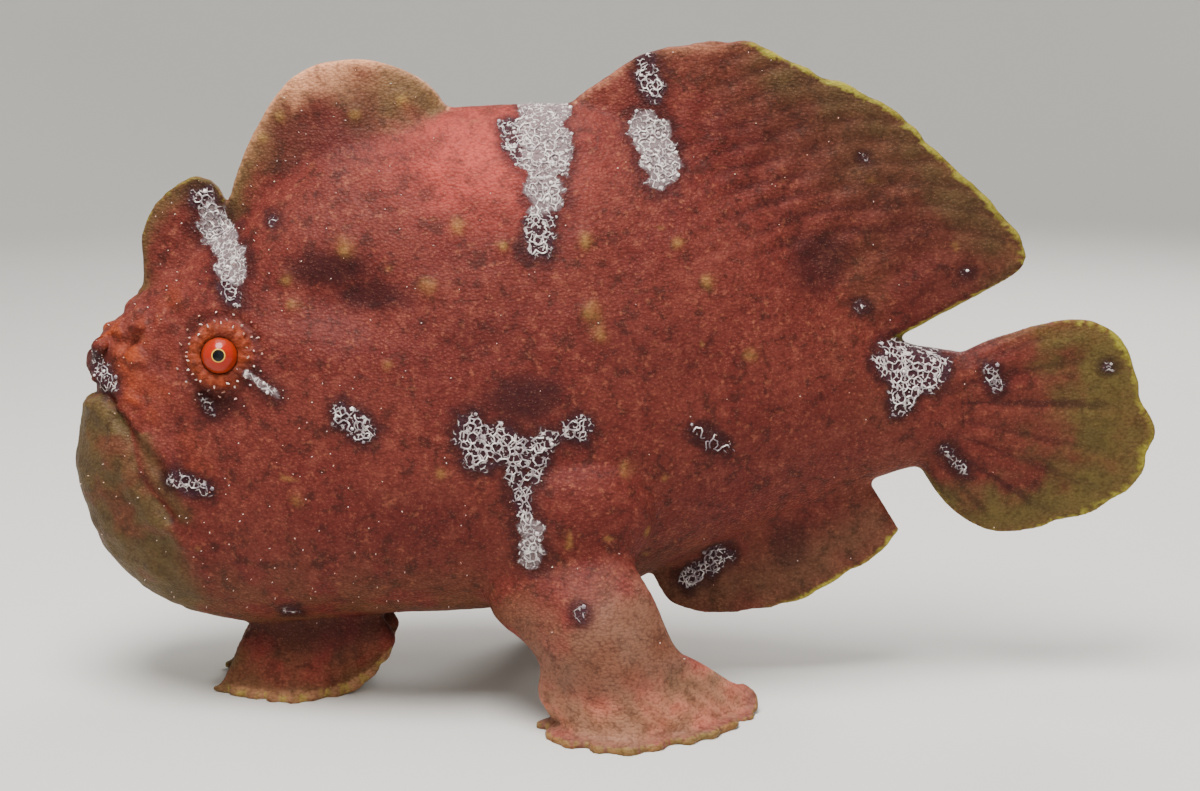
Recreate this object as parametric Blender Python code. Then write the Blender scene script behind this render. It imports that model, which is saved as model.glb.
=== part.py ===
"""Giant frogfish standing on its four paired fins: a life-size still model.

Metres, +Z up. The nose points to -X and the tail to +X, the fish's left side
faces -Y, and the soles of its fins rest on z = 0.
"""

import math

import bmesh
import bpy
import numpy as np
from mathutils import Matrix, Vector

MM = 0.001
GAP = 0.3 * MM


def mm(*rows):
    """Sizes, or rows of sizes, written in millimetres, as metres."""
    return np.array(rows, dtype=float) * MM


# Body, without its fins. Each row is a place along X and the size there.
BACK_LINE = mm(
    (-150.2, 67), (-149.3, 72), (-147.6, 79), (-145.8, 87), (-144.8, 93), (-142.2, 99.5),
    (-136.3, 106), (-130, 112.5), (-119, 120), (-107, 129), (-92, 145), (-76, 156), (-58, 160),
    (-40, 163), (-14, 163.5), (4, 159), (22, 150), (42, 135), (60, 115.5), (73, 101), (84, 97),
    (96, 95.5),
)
BELLY_LINE = mm(
    (-150.2, 64), (-149.2, 59.5), (-146, 48), (-140.4, 37), (-133.4, 30), (-123.6, 24),
    (-112, 20), (-100, 18.6), (-88, 19.6), (-75, 21.2), (-60, 22.2), (-40, 23), (-20, 25),
    (0, 29), (20, 37), (45, 48), (62, 55.5), (73, 59.5), (84, 62.5), (96, 64),
)
HALF_WIDTH = mm(
    (-150.2, 4), (-149, 9), (-147, 13), (-143, 17.5), (-138, 21), (-131, 24.5), (-122, 27.5),
    (-110, 30.5), (-95, 34), (-75, 38), (-55, 40), (-35, 40), (-15, 37.5), (5, 33), (25, 27),
    (45, 20.5), (60, 15.5), (73, 12), (84, 9.5), (96, 7),
)
WIDEST_LEVEL = mm(
    (-150.2, 67), (-140, 61), (-125, 58), (-100, 61), (-75, 63), (-50, 65), (-25, 69),
    (0, 75), (25, 81), (50, 83), (73, 81), (96, 80),
)
# Roundness of the section above and below its widest level: 2 is an ellipse, less is a ridge.
BACK_FULLNESS = ((-150.2, 2.0), (-120, 1.9), (-90, 1.75), (-60, 1.6), (0, 1.6), (50, 1.7), (96, 2.0))
BELLY_FULLNESS = ((-150.2, 2.0), (-110, 2.1), (-60, 2.15), (0, 2.0), (60, 1.8), (96, 2.0))

NOSE_X = -150.2 * MM
NECK_X = -60 * MM
VENT_X = 62 * MM
STALK_END_X = 92 * MM
BODY_SIDES = 44
HEAD_STATIONS = 34
TRUNK_STATIONS = 15
STALK_STATIONS = 6

# The groove of the mouth on the right side, from between the lips to the corner: x, y, z, radius.
MOUTH_GROOVE = mm(
    (-145.9, 0, 87.2, 4.3), (-144.9, 8, 87.2, 3.6), (-142.3, 14, 86.8, 2.6), (-137.5, 18, 86, 1.8),
    (-133, 20.8, 82, 1.4), (-130.8, 23.6, 78, 1.2), (-129.5, 25.3, 72.5, 1.2),
    (-127.7, 26.8, 66.5, 1.2), (-124.4, 27.8, 61.2, 1.4), (-121.3, 28.4, 57.5, 1.4),
    (-119.2, 28.6, 54.5, 0.7),
)
# Lines of the face seen from the side: the gape, the edge of the snout's skin over the upper jaw,
# the fold behind the corner of the mouth, and the line from there down the throat.
GAPE = MOUTH_GROOVE[:, [0, 2]]
SNOUT_EDGE = mm(
    (-133.8, 86.2), (-130.2, 81.2), (-125, 76.2), (-119.3, 70.7), (-118, 64.7), (-115.7, 58.6),
)
CORNER_FOLD = mm((-119.7, 52.6), (-117.4, 48), (-112.5, 47))
THROAT = mm((-119.2, 54.5), (-117, 44), (-111, 28), (-106, 8))

EYE_AT = mm((-105, 26.6, 99))[0]
EYE_RADIUS = 5.6 * MM
EYE_LOOKS = Vector((0.08, 0.97, 0.17)).normalized()
LID_RADIUS = 6.7 * MM
LID_THICKNESS = 1.9 * MM

# Median fins, as an outline from front to rear, and the root line sunk in the body.
FLAP_ROOT = mm((-129.5, 106), (-120, 110), (-106.6, 114))
FLAP_RIM = mm(
    (-130, 120), (-129.4, 129), (-127.6, 133.6), (-123.8, 138.9), (-118.8, 142.6),
    (-114.8, 143.8), (-111, 142.9), (-108.8, 140.6), (-107, 137.2),
)
HUMP_ROOT = mm((-106, 112), (-78, 132), (-44, 146))
HUMP_RIM = mm(
    (-105.8, 137), (-104.2, 141.5), (-101, 149.7), (-96.8, 158.2), (-90, 168.1), (-82, 173.2),
    (-71.8, 175.2), (-60.6, 173.6), (-52.2, 169.5), (-46.5, 163.6), (-43, 158),
)
DORSAL_ROOT = mm((-12, 146), (20, 138), (45, 118), (65, 92))
DORSAL_RIM = mm(
    (-14, 163), (-4.6, 169.5), (6.6, 176.6), (20.6, 179.6), (34.6, 180), (48.6, 174), (62.6, 168),
    (73.8, 162.4), (85, 152.5), (96, 142.6), (106.5, 132), (112.8, 122.6), (111.4, 118.8),
    (107, 115.4),
)
ANAL_ROOT = mm((4, 42), (32, 54), (66, 68))
ANAL_RIM = mm(
    (12, 28), (15.5, 23.5), (23.4, 20.4), (37.4, 20.4), (51.4, 23.7), (62.6, 30), (73.8, 37),
    (79.4, 44.4),
)
TAIL_ROOT = mm((80, 89), (82, 80), (80, 69))
TAIL_RIM = mm(
    (115, 102.6), (125, 104.4), (132.6, 103.4), (138.6, 99.4), (142.8, 92), (146, 83.5),
    (150.2, 72.5), (148.9, 65), (144.8, 57.4), (135, 50.4), (121.4, 45.6), (107, 43.6),
    (101.5, 45.3), (95.6, 49.4), (90.4, 54.6), (86, 60),
)
DORSAL_RAYS, ANAL_RAYS, TAIL_RAYS, PECTORAL_RAYS, PELVIC_RAYS = 13, 8, 9, 11, 5

# Paired fins, mirrored for the left side. Each guide line runs from the front edge to the rear,
# and the lines follow each other from the root sunk in the flank to the toes.
ARM_GUIDES = [
    mm((-34, 20, 38), (-18, 24, 44), (-2, 20, 50)),
    mm((-34, 31, 29), (-16, 35.5, 37.5), (3, 33, 46)),
    mm((-25, 38.5, 24), (-8, 45, 30.5), (9, 39.5, 37)),
    mm((-20.5, 42, 19), (-3, 49, 21.2), (15, 41.5, 23.5)),
    mm((-20.8, 41, 10.5), (1, 50, 11), (22.5, 36.5, 17)),
]
TOES = mm(
    (-23, 35, 0.9), (-20, 46, 0.9), (-15, 54, 0.9), (-7, 58.5, 0.9), (0.6, 61.2, 0.9),
    (8, 58.8, 0.9), (14, 55.5, 0.9), (22.4, 51, 0.9), (30.6, 42.5, 0.9), (38.6, 29, 0.9), (38.4, 22.5, 7),
)
TOE_LENGTH = 7 * MM
KNUCKLE_RISE = 0.8 * MM
PALM = mm((6, 33, 0))[0]
LIMB_HALF = mm(10.5, 9.2, 7.4, 5.6, 4.2, 1.9, 1.1)
LIMB_PLACES = (0, 0.5, 1, 1.5, 2, 2.5, 3, 3.4, 3.8, 4.3, 4.7, 5, 5.5, 6)
WRIST_PLACE = 3
STEP = 12 * MM
STEP_FOLD = 0.32
STEP_SHARE = (0, 0, 0.5, 1, 1, 1, 1)
WRIST_GAP = 0.35 * MM
PELVIC_GUIDES = [
    mm((-98, 6, 25), (-84, 8, 25), (-68, 6, 25)),
    mm((-105.5, 7, 14), (-87, 12, 12), (-62.5, 7, 15.5)),
    mm((-111, 9.5, 2.6), (-101.5, 13, 1.6), (-89, 16, 1.5), (-78, 12, 1.7), (-70.5, 9, 5.5), (-63.5, 7, 12.6)),
    mm((-116, 9, 0.9), (-104, 16, 0.9), (-90, 21, 0.9), (-77, 15, 0.9), (-68.6, 10.5, 4.5), (-62.2, 7.2, 12)),
]
PELVIC_HALF = mm(4.4, 2.9, 1.7, 1.1)
PELVIC_PLACES = (0, 0.5, 1, 1.35, 1.7, 2, 2.5, 3)
RAY_RISE = 0.5 * MM

LURE_ROD = mm((-131, 5, 106), (-130.2, 6.2, 112), (-127.6, 7, 119), (-122, 7.4, 126), (-115.4, 7.2, 130))
LURE_ROD_RADIUS = 0.65 * MM
BAIT_AT = mm((-112.4, 7.1, 131.8))[0]
BAIT_LENGTH = 3.4 * MM
NOSTRILS = mm((-139.6, 10, 98), (-129.5, 15.5, 104.5))

SKIN_RED = (0.31, 0.055, 0.035, 1)
SKIN_OLIVE = (0.20, 0.17, 0.05, 1)
SKIN_PINK = (0.42, 0.10, 0.06, 1)
EYE_RED = (0.45, 0.05, 0.01, 1)
BAIT_PALE = (0.62, 0.42, 0.34, 1)


def through(rows):
    """A smooth function through (place, value) rows, which never overshoots them."""
    at, value = np.array(rows, dtype=float).T
    step = np.diff(at)
    slope = np.diff(value) / step
    lean = np.concatenate([slope[:1], np.zeros(len(at) - 2), slope[-1:]])
    for i in range(1, len(at) - 1):
        if slope[i - 1] * slope[i] > 0:
            lean[i] = 2 * slope[i - 1] * slope[i] / (slope[i - 1] + slope[i])

    def read(x):
        x = np.clip(x, at[0], at[-1])
        i = np.clip(np.searchsorted(at, x) - 1, 0, len(step) - 1)
        t = (x - at[i]) / step[i]
        ends = value[i] * (1 + 2 * t) * (1 - t) ** 2 + value[i + 1] * t * t * (3 - 2 * t)
        return ends + step[i] * (lean[i] * t * (1 - t) ** 2 + lean[i + 1] * t * t * (t - 1))

    return read


back_line = through(BACK_LINE)
belly_line = through(BELLY_LINE)
half_width = through(HALF_WIDTH)
widest_level = through(WIDEST_LEVEL)
back_fullness = through([(x * MM, n) for x, n in BACK_FULLNESS])
belly_fullness = through([(x * MM, n) for x, n in BELLY_FULLNESS])


def path(points, shares, even=False):
    """A smooth curve through the points, read at shares of its length, or of its count if even."""
    points = np.asarray(points, dtype=float).reshape(len(points), -1)
    steps = np.linalg.norm(np.diff(points, axis=0), axis=1)
    at = np.concatenate([[0], np.cumsum(steps)]) / steps.sum()
    if even:
        at = np.linspace(0, 1, len(points))
    lean = np.gradient(points, at, axis=0)
    shares = np.asarray(shares, dtype=float)
    i = np.clip(np.searchsorted(at, shares) - 1, 0, len(at) - 2)
    step = (at[i + 1] - at[i])[:, None]
    t = ((shares - at[i]) / step[:, 0])[:, None]
    ends = points[i] * (1 + 2 * t) * (1 - t) ** 2 + points[i + 1] * t * t * (3 - 2 * t)
    return ends + step * (lean[i] * t * (1 - t) ** 2 + lean[i + 1] * t * t * (t - 1))


def away_from(line, x, z):
    """Distance in the side view from points to a line of points."""
    nearest = np.full(np.shape(x), np.inf)
    for (x0, z0), (x1, z1) in zip(line[:-1], line[1:]):
        run, rise = x1 - x0, z1 - z0
        t = np.clip(((x - x0) * run + (z - z0) * rise) / (run**2 + rise**2), 0, 1)
        nearest = np.minimum(nearest, np.hypot(x - x0 - t * run, z - z0 - t * rise))
    return nearest


def bump(distance, width):
    return np.exp(-((distance / width) ** 2))


def relief(x, z):
    """How far the skin stands proud of the plain body: lips, folds, hollows and the eye's mound."""
    eye = np.hypot(x - EYE_AT[0], z - EYE_AT[2])
    brow_hollow = np.hypot((x + 74 * MM) / 1.6, z - 114 * MM)
    under_eye = np.hypot(x + 103 * MM, (z - 84 * MM) / 0.8)
    snout_lobe = np.hypot(x + 145.2 * MM, z - 93.8 * MM)
    upper_lip = away_from(GAPE[6:] + mm((2.6, 1.8)), x, z)
    lower_lip = away_from(GAPE[3:] + mm((-3.4, -2.4)), x, z)
    under_snout_edge = away_from(SNOUT_EDGE + mm((-2.4, -2.2)), x, z)
    return (
        2.2 * MM * bump(eye, 9 * MM)
        - 3.0 * MM * bump(brow_hollow, 11 * MM)
        - 1.2 * MM * bump(under_eye, 7 * MM)
        + 1.4 * MM * bump(snout_lobe, 2.6 * MM)
        + 1.0 * MM * bump(upper_lip, 2.0 * MM)
        + 1.3 * MM * bump(lower_lip, 2.8 * MM)
        + 1.5 * MM * bump(away_from(SNOUT_EDGE, x, z), 2.4 * MM)
        - 0.8 * MM * bump(under_snout_edge, 2.0 * MM)
        + 1.3 * MM * bump(away_from(CORNER_FOLD, x, z), 2.2 * MM)
    )


def body_rings(stations, swell=0.0):
    """Rings round the body at the stations, each from the belly up the left side and back down."""
    turn = np.linspace(0, 2 * math.pi, BODY_SIDES, endpoint=False)[None, :]
    x = np.asarray(stations)[:, None]
    rise, out = -np.cos(turn), np.sin(turn)
    fullness = np.where(rise > 0, back_fullness(x), belly_fullness(x))
    reach = np.where(rise > 0, back_line(x) - widest_level(x), widest_level(x) - belly_line(x))
    z = widest_level(x) + reach * np.sign(rise) * np.abs(rise) ** (2 / fullness)
    y = -half_width(x) * np.sign(out) * np.abs(out) ** (2 / fullness)
    rings = np.stack([np.broadcast_to(x, y.shape), y, z], axis=-1)
    along = np.gradient(rings, axis=0)
    across = np.roll(rings, -1, axis=1) - np.roll(rings, 1, axis=1)
    outward = np.cross(along, across)
    outward /= np.linalg.norm(outward, axis=-1, keepdims=True)
    return rings + outward * (relief(rings[..., 0], z) + swell)[..., None]


def head_stations():
    """Close together at the blunt nose, wider apart towards the neck."""
    share = np.linspace(0, 1, HEAD_STATIONS) ** 1.75
    return NOSE_X + (NECK_X - GAP / 2 - NOSE_X) * share


def trunk_stations():
    return np.linspace(NECK_X + GAP / 2, VENT_X - GAP / 2, TRUNK_STATIONS)


def stalk_stations():
    return np.linspace(VENT_X + GAP / 2, STALK_END_X, STALK_STATIONS)


def add_object(name, points, faces, collection):
    mesh = bpy.data.meshes.new(name)
    mesh.from_pydata([tuple(point) for point in points], [], faces)
    mesh.validate()
    obj = bpy.data.objects.new(name, mesh)
    collection.objects.link(obj)
    return obj


def from_rings(name, rings, collection):
    """A closed mesh from rings of points, with a fan over each end."""
    count, sides = rings.shape[:2]
    points = np.concatenate([rings.reshape(-1, 3), rings[[0, -1]].mean(axis=1)])
    faces = []
    for i in range(count - 1):
        for j in range(sides):
            k = (j + 1) % sides
            a, b, c, d = i * sides + j, i * sides + k, (i + 1) * sides + k, (i + 1) * sides + j
            faces += [(a, c, b), (a, d, c)]
    first, last, end = count * sides, count * sides + 1, (count - 1) * sides
    for j in range(sides):
        k = (j + 1) % sides
        faces += [(first, j, k), (last, end + k, end + j)]
    obj = add_object(name, points, faces, collection)
    face_outward(obj)
    return obj


def from_sheet(name, centre, thickness, collection, rows=slice(None), floor=None):
    """A closed slab from the chosen rows of centre points and half thicknesses, alike on both faces."""
    across = np.cross(np.gradient(centre, axis=0), np.gradient(centre, axis=1))
    across /= np.linalg.norm(across, axis=-1, keepdims=True)
    centre, across, thickness = centre[rows], across[rows], thickness[rows]
    rows, columns = centre.shape[:2]
    points = np.concatenate([
        (centre + across * thickness[..., None]).reshape(-1, 3),
        (centre - across * thickness[..., None]).reshape(-1, 3),
    ])
    if floor is not None:
        points[:, 2] = np.maximum(points[:, 2], floor)
    under = rows * columns
    faces = []
    for i in range(rows - 1):
        for j in range(columns - 1):
            a, b, c, d = i * columns + j, i * columns + j + 1, (i + 1) * columns + j + 1, (i + 1) * columns + j
            faces += [(a, b, c), (a, c, d)]
            faces += [(under + a, under + c, under + b), (under + a, under + d, under + c)]
    border = [j for j in range(columns)]
    border += [i * columns + columns - 1 for i in range(1, rows)]
    border += [(rows - 1) * columns + j for j in range(columns - 2, -1, -1)]
    border += [i * columns for i in range(rows - 2, 0, -1)]
    for a, b in zip(border, border[1:] + border[:1]):
        faces += [(a, under + a, under + b), (a, under + b, b)]
    obj = add_object(name, points, faces, collection)
    face_outward(obj)
    return obj


def face_outward(obj):
    sheet = bmesh.new()
    sheet.from_mesh(obj.data)
    bmesh.ops.recalc_face_normals(sheet, faces=sheet.faces)
    if sheet.calc_volume(signed=True) < 0:
        bmesh.ops.reverse_faces(sheet, faces=sheet.faces)
    sheet.to_mesh(obj.data)
    sheet.free()


def tube(name, points, radii, sides, collection, aside=(0.31, 0.95, 0.05)):
    """A closed tube of round rings along the points, which never run along the direction aside."""
    points = np.asarray(points)
    heading = np.gradient(points, axis=0)
    heading /= np.linalg.norm(heading, axis=1, keepdims=True)
    side = np.cross(heading, aside)
    side /= np.linalg.norm(side, axis=1, keepdims=True)
    third = np.cross(heading, side)
    turn = np.linspace(0, 2 * math.pi, sides, endpoint=False)
    ring = side[:, None] * np.cos(turn)[None, :, None] + third[:, None] * np.sin(turn)[None, :, None]
    return from_rings(name, points[:, None] + ring * np.asarray(radii)[:, None, None], collection)


def cut(obj, cutter, operation="DIFFERENCE"):
    """Applies one exact Boolean and keeps the largest closed surface."""
    change = obj.modifiers.new(operation.lower(), "BOOLEAN")
    change.operation = operation
    change.object = cutter
    apply_modifiers(obj)
    keep_largest(obj)


def fuse(obj, pieces):
    """Joins the closed pieces to the object in one exact union, and removes them."""
    group = bpy.data.collections.new(obj.name + "_pieces")
    for piece in pieces:
        group.objects.link(piece)
    change = obj.modifiers.new("fuse", "BOOLEAN")
    change.operation = "UNION"
    change.operand_type = "COLLECTION"
    change.collection = group
    apply_modifiers(obj)
    for piece in pieces:
        bpy.data.objects.remove(piece)
    bpy.data.collections.remove(group)
    keep_largest(obj)


def apply_modifiers(obj):
    bpy.context.view_layer.update()
    seen = obj.evaluated_get(bpy.context.evaluated_depsgraph_get())
    mesh = bpy.data.meshes.new_from_object(seen)
    obj.modifiers.clear()
    obj.data = mesh


def keep_largest(obj):
    shape = bmesh.new()
    shape.from_mesh(obj.data)
    bmesh.ops.dissolve_degenerate(shape, dist=1e-7, edges=shape.edges)
    bmesh.ops.triangulate(shape, faces=shape.faces)
    left, islands = set(shape.verts), []
    while left:
        island, front = set(), [left.pop()]
        while front:
            vert = front.pop()
            island.add(vert)
            for edge in vert.link_edges:
                other = edge.other_vert(vert)
                if other in left:
                    left.remove(other)
                    front.append(other)
        islands.append(island)
    islands.sort(key=len)
    scraps = [vert for island in islands[:-1] for vert in island]
    bmesh.ops.delete(shape, geom=scraps, context="VERTS")
    shape.to_mesh(obj.data)
    shape.free()


def flat_points(outline):
    """Points of the fish's middle plane from (x, z) rows."""
    return np.stack([outline[:, 0], np.zeros(len(outline)), outline[:, 1]], axis=1)


def median_fin(name, root, rim, rays, root_half, rim_half, ray_height, rows, notch, collection):
    """A fin in the middle plane: rays fan from the root line to the rim, raised on both faces."""
    columns = 2 * rays + 1
    share = np.linspace(0, 1, columns)
    ray = np.arange(columns) % 2
    low = path(flat_points(root), share)
    high = path(flat_points(rim), share)
    reach = np.linspace(0, 1, rows)[:, None]
    tip_share = 1 - notch * (1 - ray)[None, :] * reach**6
    centre = low[None] + (high - low)[None] * (reach * tip_share)[..., None]
    edge = np.minimum(share, 1 - share)[None, :]
    flank = np.clip(edge * rays / 1.2, 0, 1) ** 0.5
    body = rim_half + (root_half - rim_half) * (1 - reach) ** 1.3
    thickness = rim_half * 0.7 + (body - rim_half * 0.7) * flank
    thickness = thickness + ray_height * ray[None, :] * (1 - reach**5)
    return from_sheet(name, centre, thickness, collection)


def rooted(obj, cutter):
    """Trims the fin's root to the body, leaving the gap between touching pieces."""
    cut(obj, cutter)
    return obj


def mirrored(obj, name, collection):
    mesh = obj.data.copy()
    mesh.transform(Matrix.Scale(-1, 4, Vector((0, 1, 0))))
    mesh.flip_normals()
    twin = bpy.data.objects.new(name, mesh)
    collection.objects.link(twin)
    return twin


def to_left(points):
    return np.asarray(points) * np.array([1, -1, 1])


def guided_sheet(guides, halves, places, rays, slab_from):
    """Centre points and half thicknesses of a paired fin: oval near its root, a rayed slab beyond."""
    columns = 2 * rays + 1
    share = np.linspace(0, 1, columns)
    lines = np.stack([path(guide, share) for guide in guides], axis=1)
    reach = np.array(places) / (len(guides) - 1)
    centre = np.stack([path(line, reach, even=True) for line in lines], axis=1)
    slab = np.clip((reach * (len(guides) - 1) - slab_from) / (len(guides) - 1 - slab_from), 0, 1)[:, None]
    ray = np.arange(columns) % 2
    centre[-1] += (centre[-2] - centre[-1]) * 0.5 * (1 - ray)[:, None]
    oval = np.sqrt(np.clip(1 - (2 * share - 1) ** 2, 0, 1))[None, :]
    thickness = path(halves, reach, even=True) * (0.14 + 0.86 * oval ** (1 - 0.8 * slab))
    thickness += RAY_RISE * ray[None, :] * slab * (1 - slab) * 4
    return centre, thickness


def build_limb(side, collection):
    """The arm and the foot, parted at the wrist. The right one has taken a step forward."""
    toward_palm = PALM - TOES
    toward_palm[:, 2] = 0
    toward_palm /= np.linalg.norm(toward_palm, axis=1, keepdims=True)
    knuckles = TOES + toward_palm * TOE_LENGTH + np.array([0, 0, KNUCKLE_RISE])
    guides = [guide.copy() for guide in ARM_GUIDES + [knuckles, TOES]]
    if side == "right":
        for guide, share in zip(guides, STEP_SHARE):
            guide[:, 0] = PALM[0] + (guide[:, 0] - PALM[0]) * (1 - STEP_FOLD * share) - STEP * share
    centre, thickness = guided_sheet(guides, LIMB_HALF, LIMB_PLACES, PECTORAL_RAYS, WRIST_PLACE)
    if side == "left":
        centre = to_left(centre)
    wrist = LIMB_PLACES.index(WRIST_PLACE)
    arm = from_sheet(f"pectoral_arm_{side}", centre, thickness, collection, rows=slice(0, wrist + 1))
    along = centre[wrist + 1] - centre[wrist]
    centre[wrist] += along / np.linalg.norm(along, axis=-1, keepdims=True) * WRIST_GAP
    foot = from_sheet(
        f"pectoral_fin_{side}", centre, thickness, collection, rows=slice(wrist, None), floor=0.0
    )
    return arm, foot


def build_pelvic(collection):
    centre, thickness = guided_sheet(PELVIC_GUIDES, PELVIC_HALF, PELVIC_PLACES, 2 * PELVIC_RAYS, 0.5)
    return from_sheet("pelvic_fin_left", to_left(centre), thickness, collection, floor=0.0)


def add_sphere(name, centre, radius, collection, segments=20, rings=12):
    ball = bmesh.new()
    bmesh.ops.create_uvsphere(ball, u_segments=segments, v_segments=rings, radius=radius)
    aim = Vector((0, 0, 1)).rotation_difference(EYE_LOOKS).to_matrix().to_4x4()
    bmesh.ops.transform(ball, matrix=Matrix.Translation(centre) @ aim, verts=ball.verts)
    mesh = bpy.data.meshes.new(name)
    ball.to_mesh(mesh)
    ball.free()
    obj = bpy.data.objects.new(name, mesh)
    collection.objects.link(obj)
    return obj


def add_lid(name, collection):
    """The raised ring of skin round the right eye."""
    turn = np.linspace(0, 2 * math.pi, 20, endpoint=False)
    aim = Vector((0, 0, 1)).rotation_difference(EYE_LOOKS).to_matrix()
    ring = [aim @ Vector((LID_RADIUS * math.cos(t), LID_RADIUS * math.sin(t), 1.2 * MM)) for t in turn]
    centres = np.array([tuple(point) for point in ring]) + EYE_AT
    middle = centres.mean(axis=0)
    points, faces, sides = [], [], 8
    for centre in centres:
        outward = Vector(centre - middle).normalized()
        for k in range(sides):
            lean = 2 * math.pi * k / sides
            across = outward * math.cos(lean) + EYE_LOOKS * math.sin(lean)
            points.append(tuple(Vector(centre) + across * LID_THICKNESS))
    for i in range(len(turn)):
        for k in range(sides):
            nexts = (i + 1) % len(turn)
            a, b = i * sides + k, i * sides + (k + 1) % sides
            c, d = nexts * sides + (k + 1) % sides, nexts * sides + k
            faces.append((a, b, c, d))
    obj = add_object(name, points, faces, collection)
    face_outward(obj)
    return obj


def build_nostril(name, at, collection):
    """A short open tube of skin standing on the snout."""
    outward = Vector((-0.45, 0.75, 0.48)).normalized()
    root = Vector(at) - outward * 3 * MM
    tip = Vector(at) + outward * 2.6 * MM
    steps = np.linspace(0, 1, 4)
    points = [tuple(root.lerp(tip, step)) for step in steps]
    outer = tube(name, points, [1.7 * MM, 1.6 * MM, 1.4 * MM, 1.2 * MM], 8, collection)
    bore = tube(name + "_bore", [tuple(tip + outward * MM), tuple(tip - outward * 2 * MM)],
                [0.7 * MM, 0.5 * MM], 8, collection)
    cut(outer, bore)
    bpy.data.objects.remove(bore)
    return outer


def build_head(parts, cutters):
    head = from_rings("head", body_rings(head_stations()), parts)
    left_lid = add_lid("lid_right", cutters)
    pieces = [left_lid, mirrored(left_lid, "lid_left", cutters)]
    for i, at in enumerate(NOSTRILS):
        nostril = build_nostril(f"nostril_{i}", at, cutters)
        pieces += [nostril, mirrored(nostril, f"nostril_{i}_left", cutters)]
    fuse(head, pieces)
    socket = add_sphere("socket_right", EYE_AT, EYE_RADIUS + GAP, cutters)
    for hole in (socket, mirrored(socket, "socket_left", cutters), mouth_groove(cutters)):
        cut(head, hole)
        bpy.data.objects.remove(hole)
    return head


def mouth_groove(collection):
    """A tube laid round the face from one corner of the mouth to the other."""
    right = path(MOUTH_GROOVE, np.linspace(0, 1, 16))
    left = right[:0:-1] * np.array([1, -1, 1, 1])
    line = np.concatenate([left, right])
    return tube("mouth_groove", line[:, :3], line[:, 3], 8, collection, aside=(-1, 0, 0.3))


def jaw_block(name, shrink, collection):
    """The space in front of the gape and throat, drawn back from them by shrink."""
    line = np.concatenate([GAPE, THROAT[1:]])
    lean = np.gradient(line, axis=0)
    lean /= np.linalg.norm(lean, axis=1, keepdims=True)
    edge = line + shrink * np.stack([lean[:, 1], -lean[:, 0]], axis=1)
    start = [(-0.2, edge[0, 1])]
    front = [(-0.2, 0.01)]
    outline = np.concatenate([start, edge, front])
    side = 70 * MM
    count = len(outline)
    points = [(x, -side, z) for x, z in outline] + [(x, side, z) for x, z in outline]
    faces = [tuple(range(count)), tuple(range(2 * count - 1, count - 1, -1))]
    faces += [(i, i + count, (i + 1) % count + count, (i + 1) % count) for i in range(count)]
    obj = add_object(name, points, faces, collection)
    face_outward(obj)
    return obj


def split_jaw(head, parts, cutters):
    jaw = head.copy()
    jaw.data = head.data.copy()
    jaw.name = "lower_jaw"
    parts.objects.link(jaw)
    keep = jaw_block("jaw_keep", GAP / 2, cutters)
    clear = jaw_block("jaw_clear", -GAP / 2, cutters)
    cut(jaw, keep, "INTERSECT")
    cut(head, clear)
    bpy.data.objects.remove(keep)
    bpy.data.objects.remove(clear)
    return jaw


def build_lure(parts, root_cutter):
    rod_points = path(LURE_ROD, np.linspace(0, 1, 14))
    rod = tube("lure_rod", rod_points, np.linspace(1.5, 1, 14) * LURE_ROD_RADIUS, 8, parts)
    rooted(rod, root_cutter)
    heading = Vector(LURE_ROD[-1] - LURE_ROD[-2]).normalized()
    start = Vector(LURE_ROD[-1]) + heading * GAP
    bait_axis = [start + heading * BAIT_LENGTH * 2 * step for step in (0, 0.15, 0.4, 0.7, 0.9, 1)]
    swell = (0.5, 1.2, 1.9, 1.8, 1.1, 0.4)
    bait = tube("lure_bait", [tuple(p) for p in bait_axis], [r * MM for r in swell], 10, parts)
    return rod, bait


def build_feelers(bait, cutters):
    """Tapered threads of the bait, spread from its far end."""
    threads = []
    for i in range(6):
        turn = 2 * math.pi * i / 6
        spread = Vector((0.75, 0.5 * math.cos(turn) + 0.25, 0.55 + 0.55 * math.sin(turn))).normalized()
        root = Vector(BAIT_AT) + spread * 0.2 * MM
        points = [tuple(root + spread * step * MM) for step in (0, 2.5, 4.5, 5.6)]
        threads.append(tube(f"thread_{i}", points, [0.55 * MM, 0.5 * MM, 0.4 * MM, 0.25 * MM], 5, cutters))
    fuse(bait, threads)


def paint(obj, name, colour, roughness):
    material = bpy.data.materials.get(name) or bpy.data.materials.new(name)
    material.use_nodes = True
    shader = material.node_tree.nodes["Principled BSDF"]
    shader.inputs["Base Color"].default_value = colour
    shader.inputs["Roughness"].default_value = roughness
    material.diffuse_color = colour
    obj.data.materials.clear()
    obj.data.materials.append(material)
    obj.data.shade_smooth()
    obj.data.set_sharp_from_angle(angle=math.radians(50))


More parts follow.
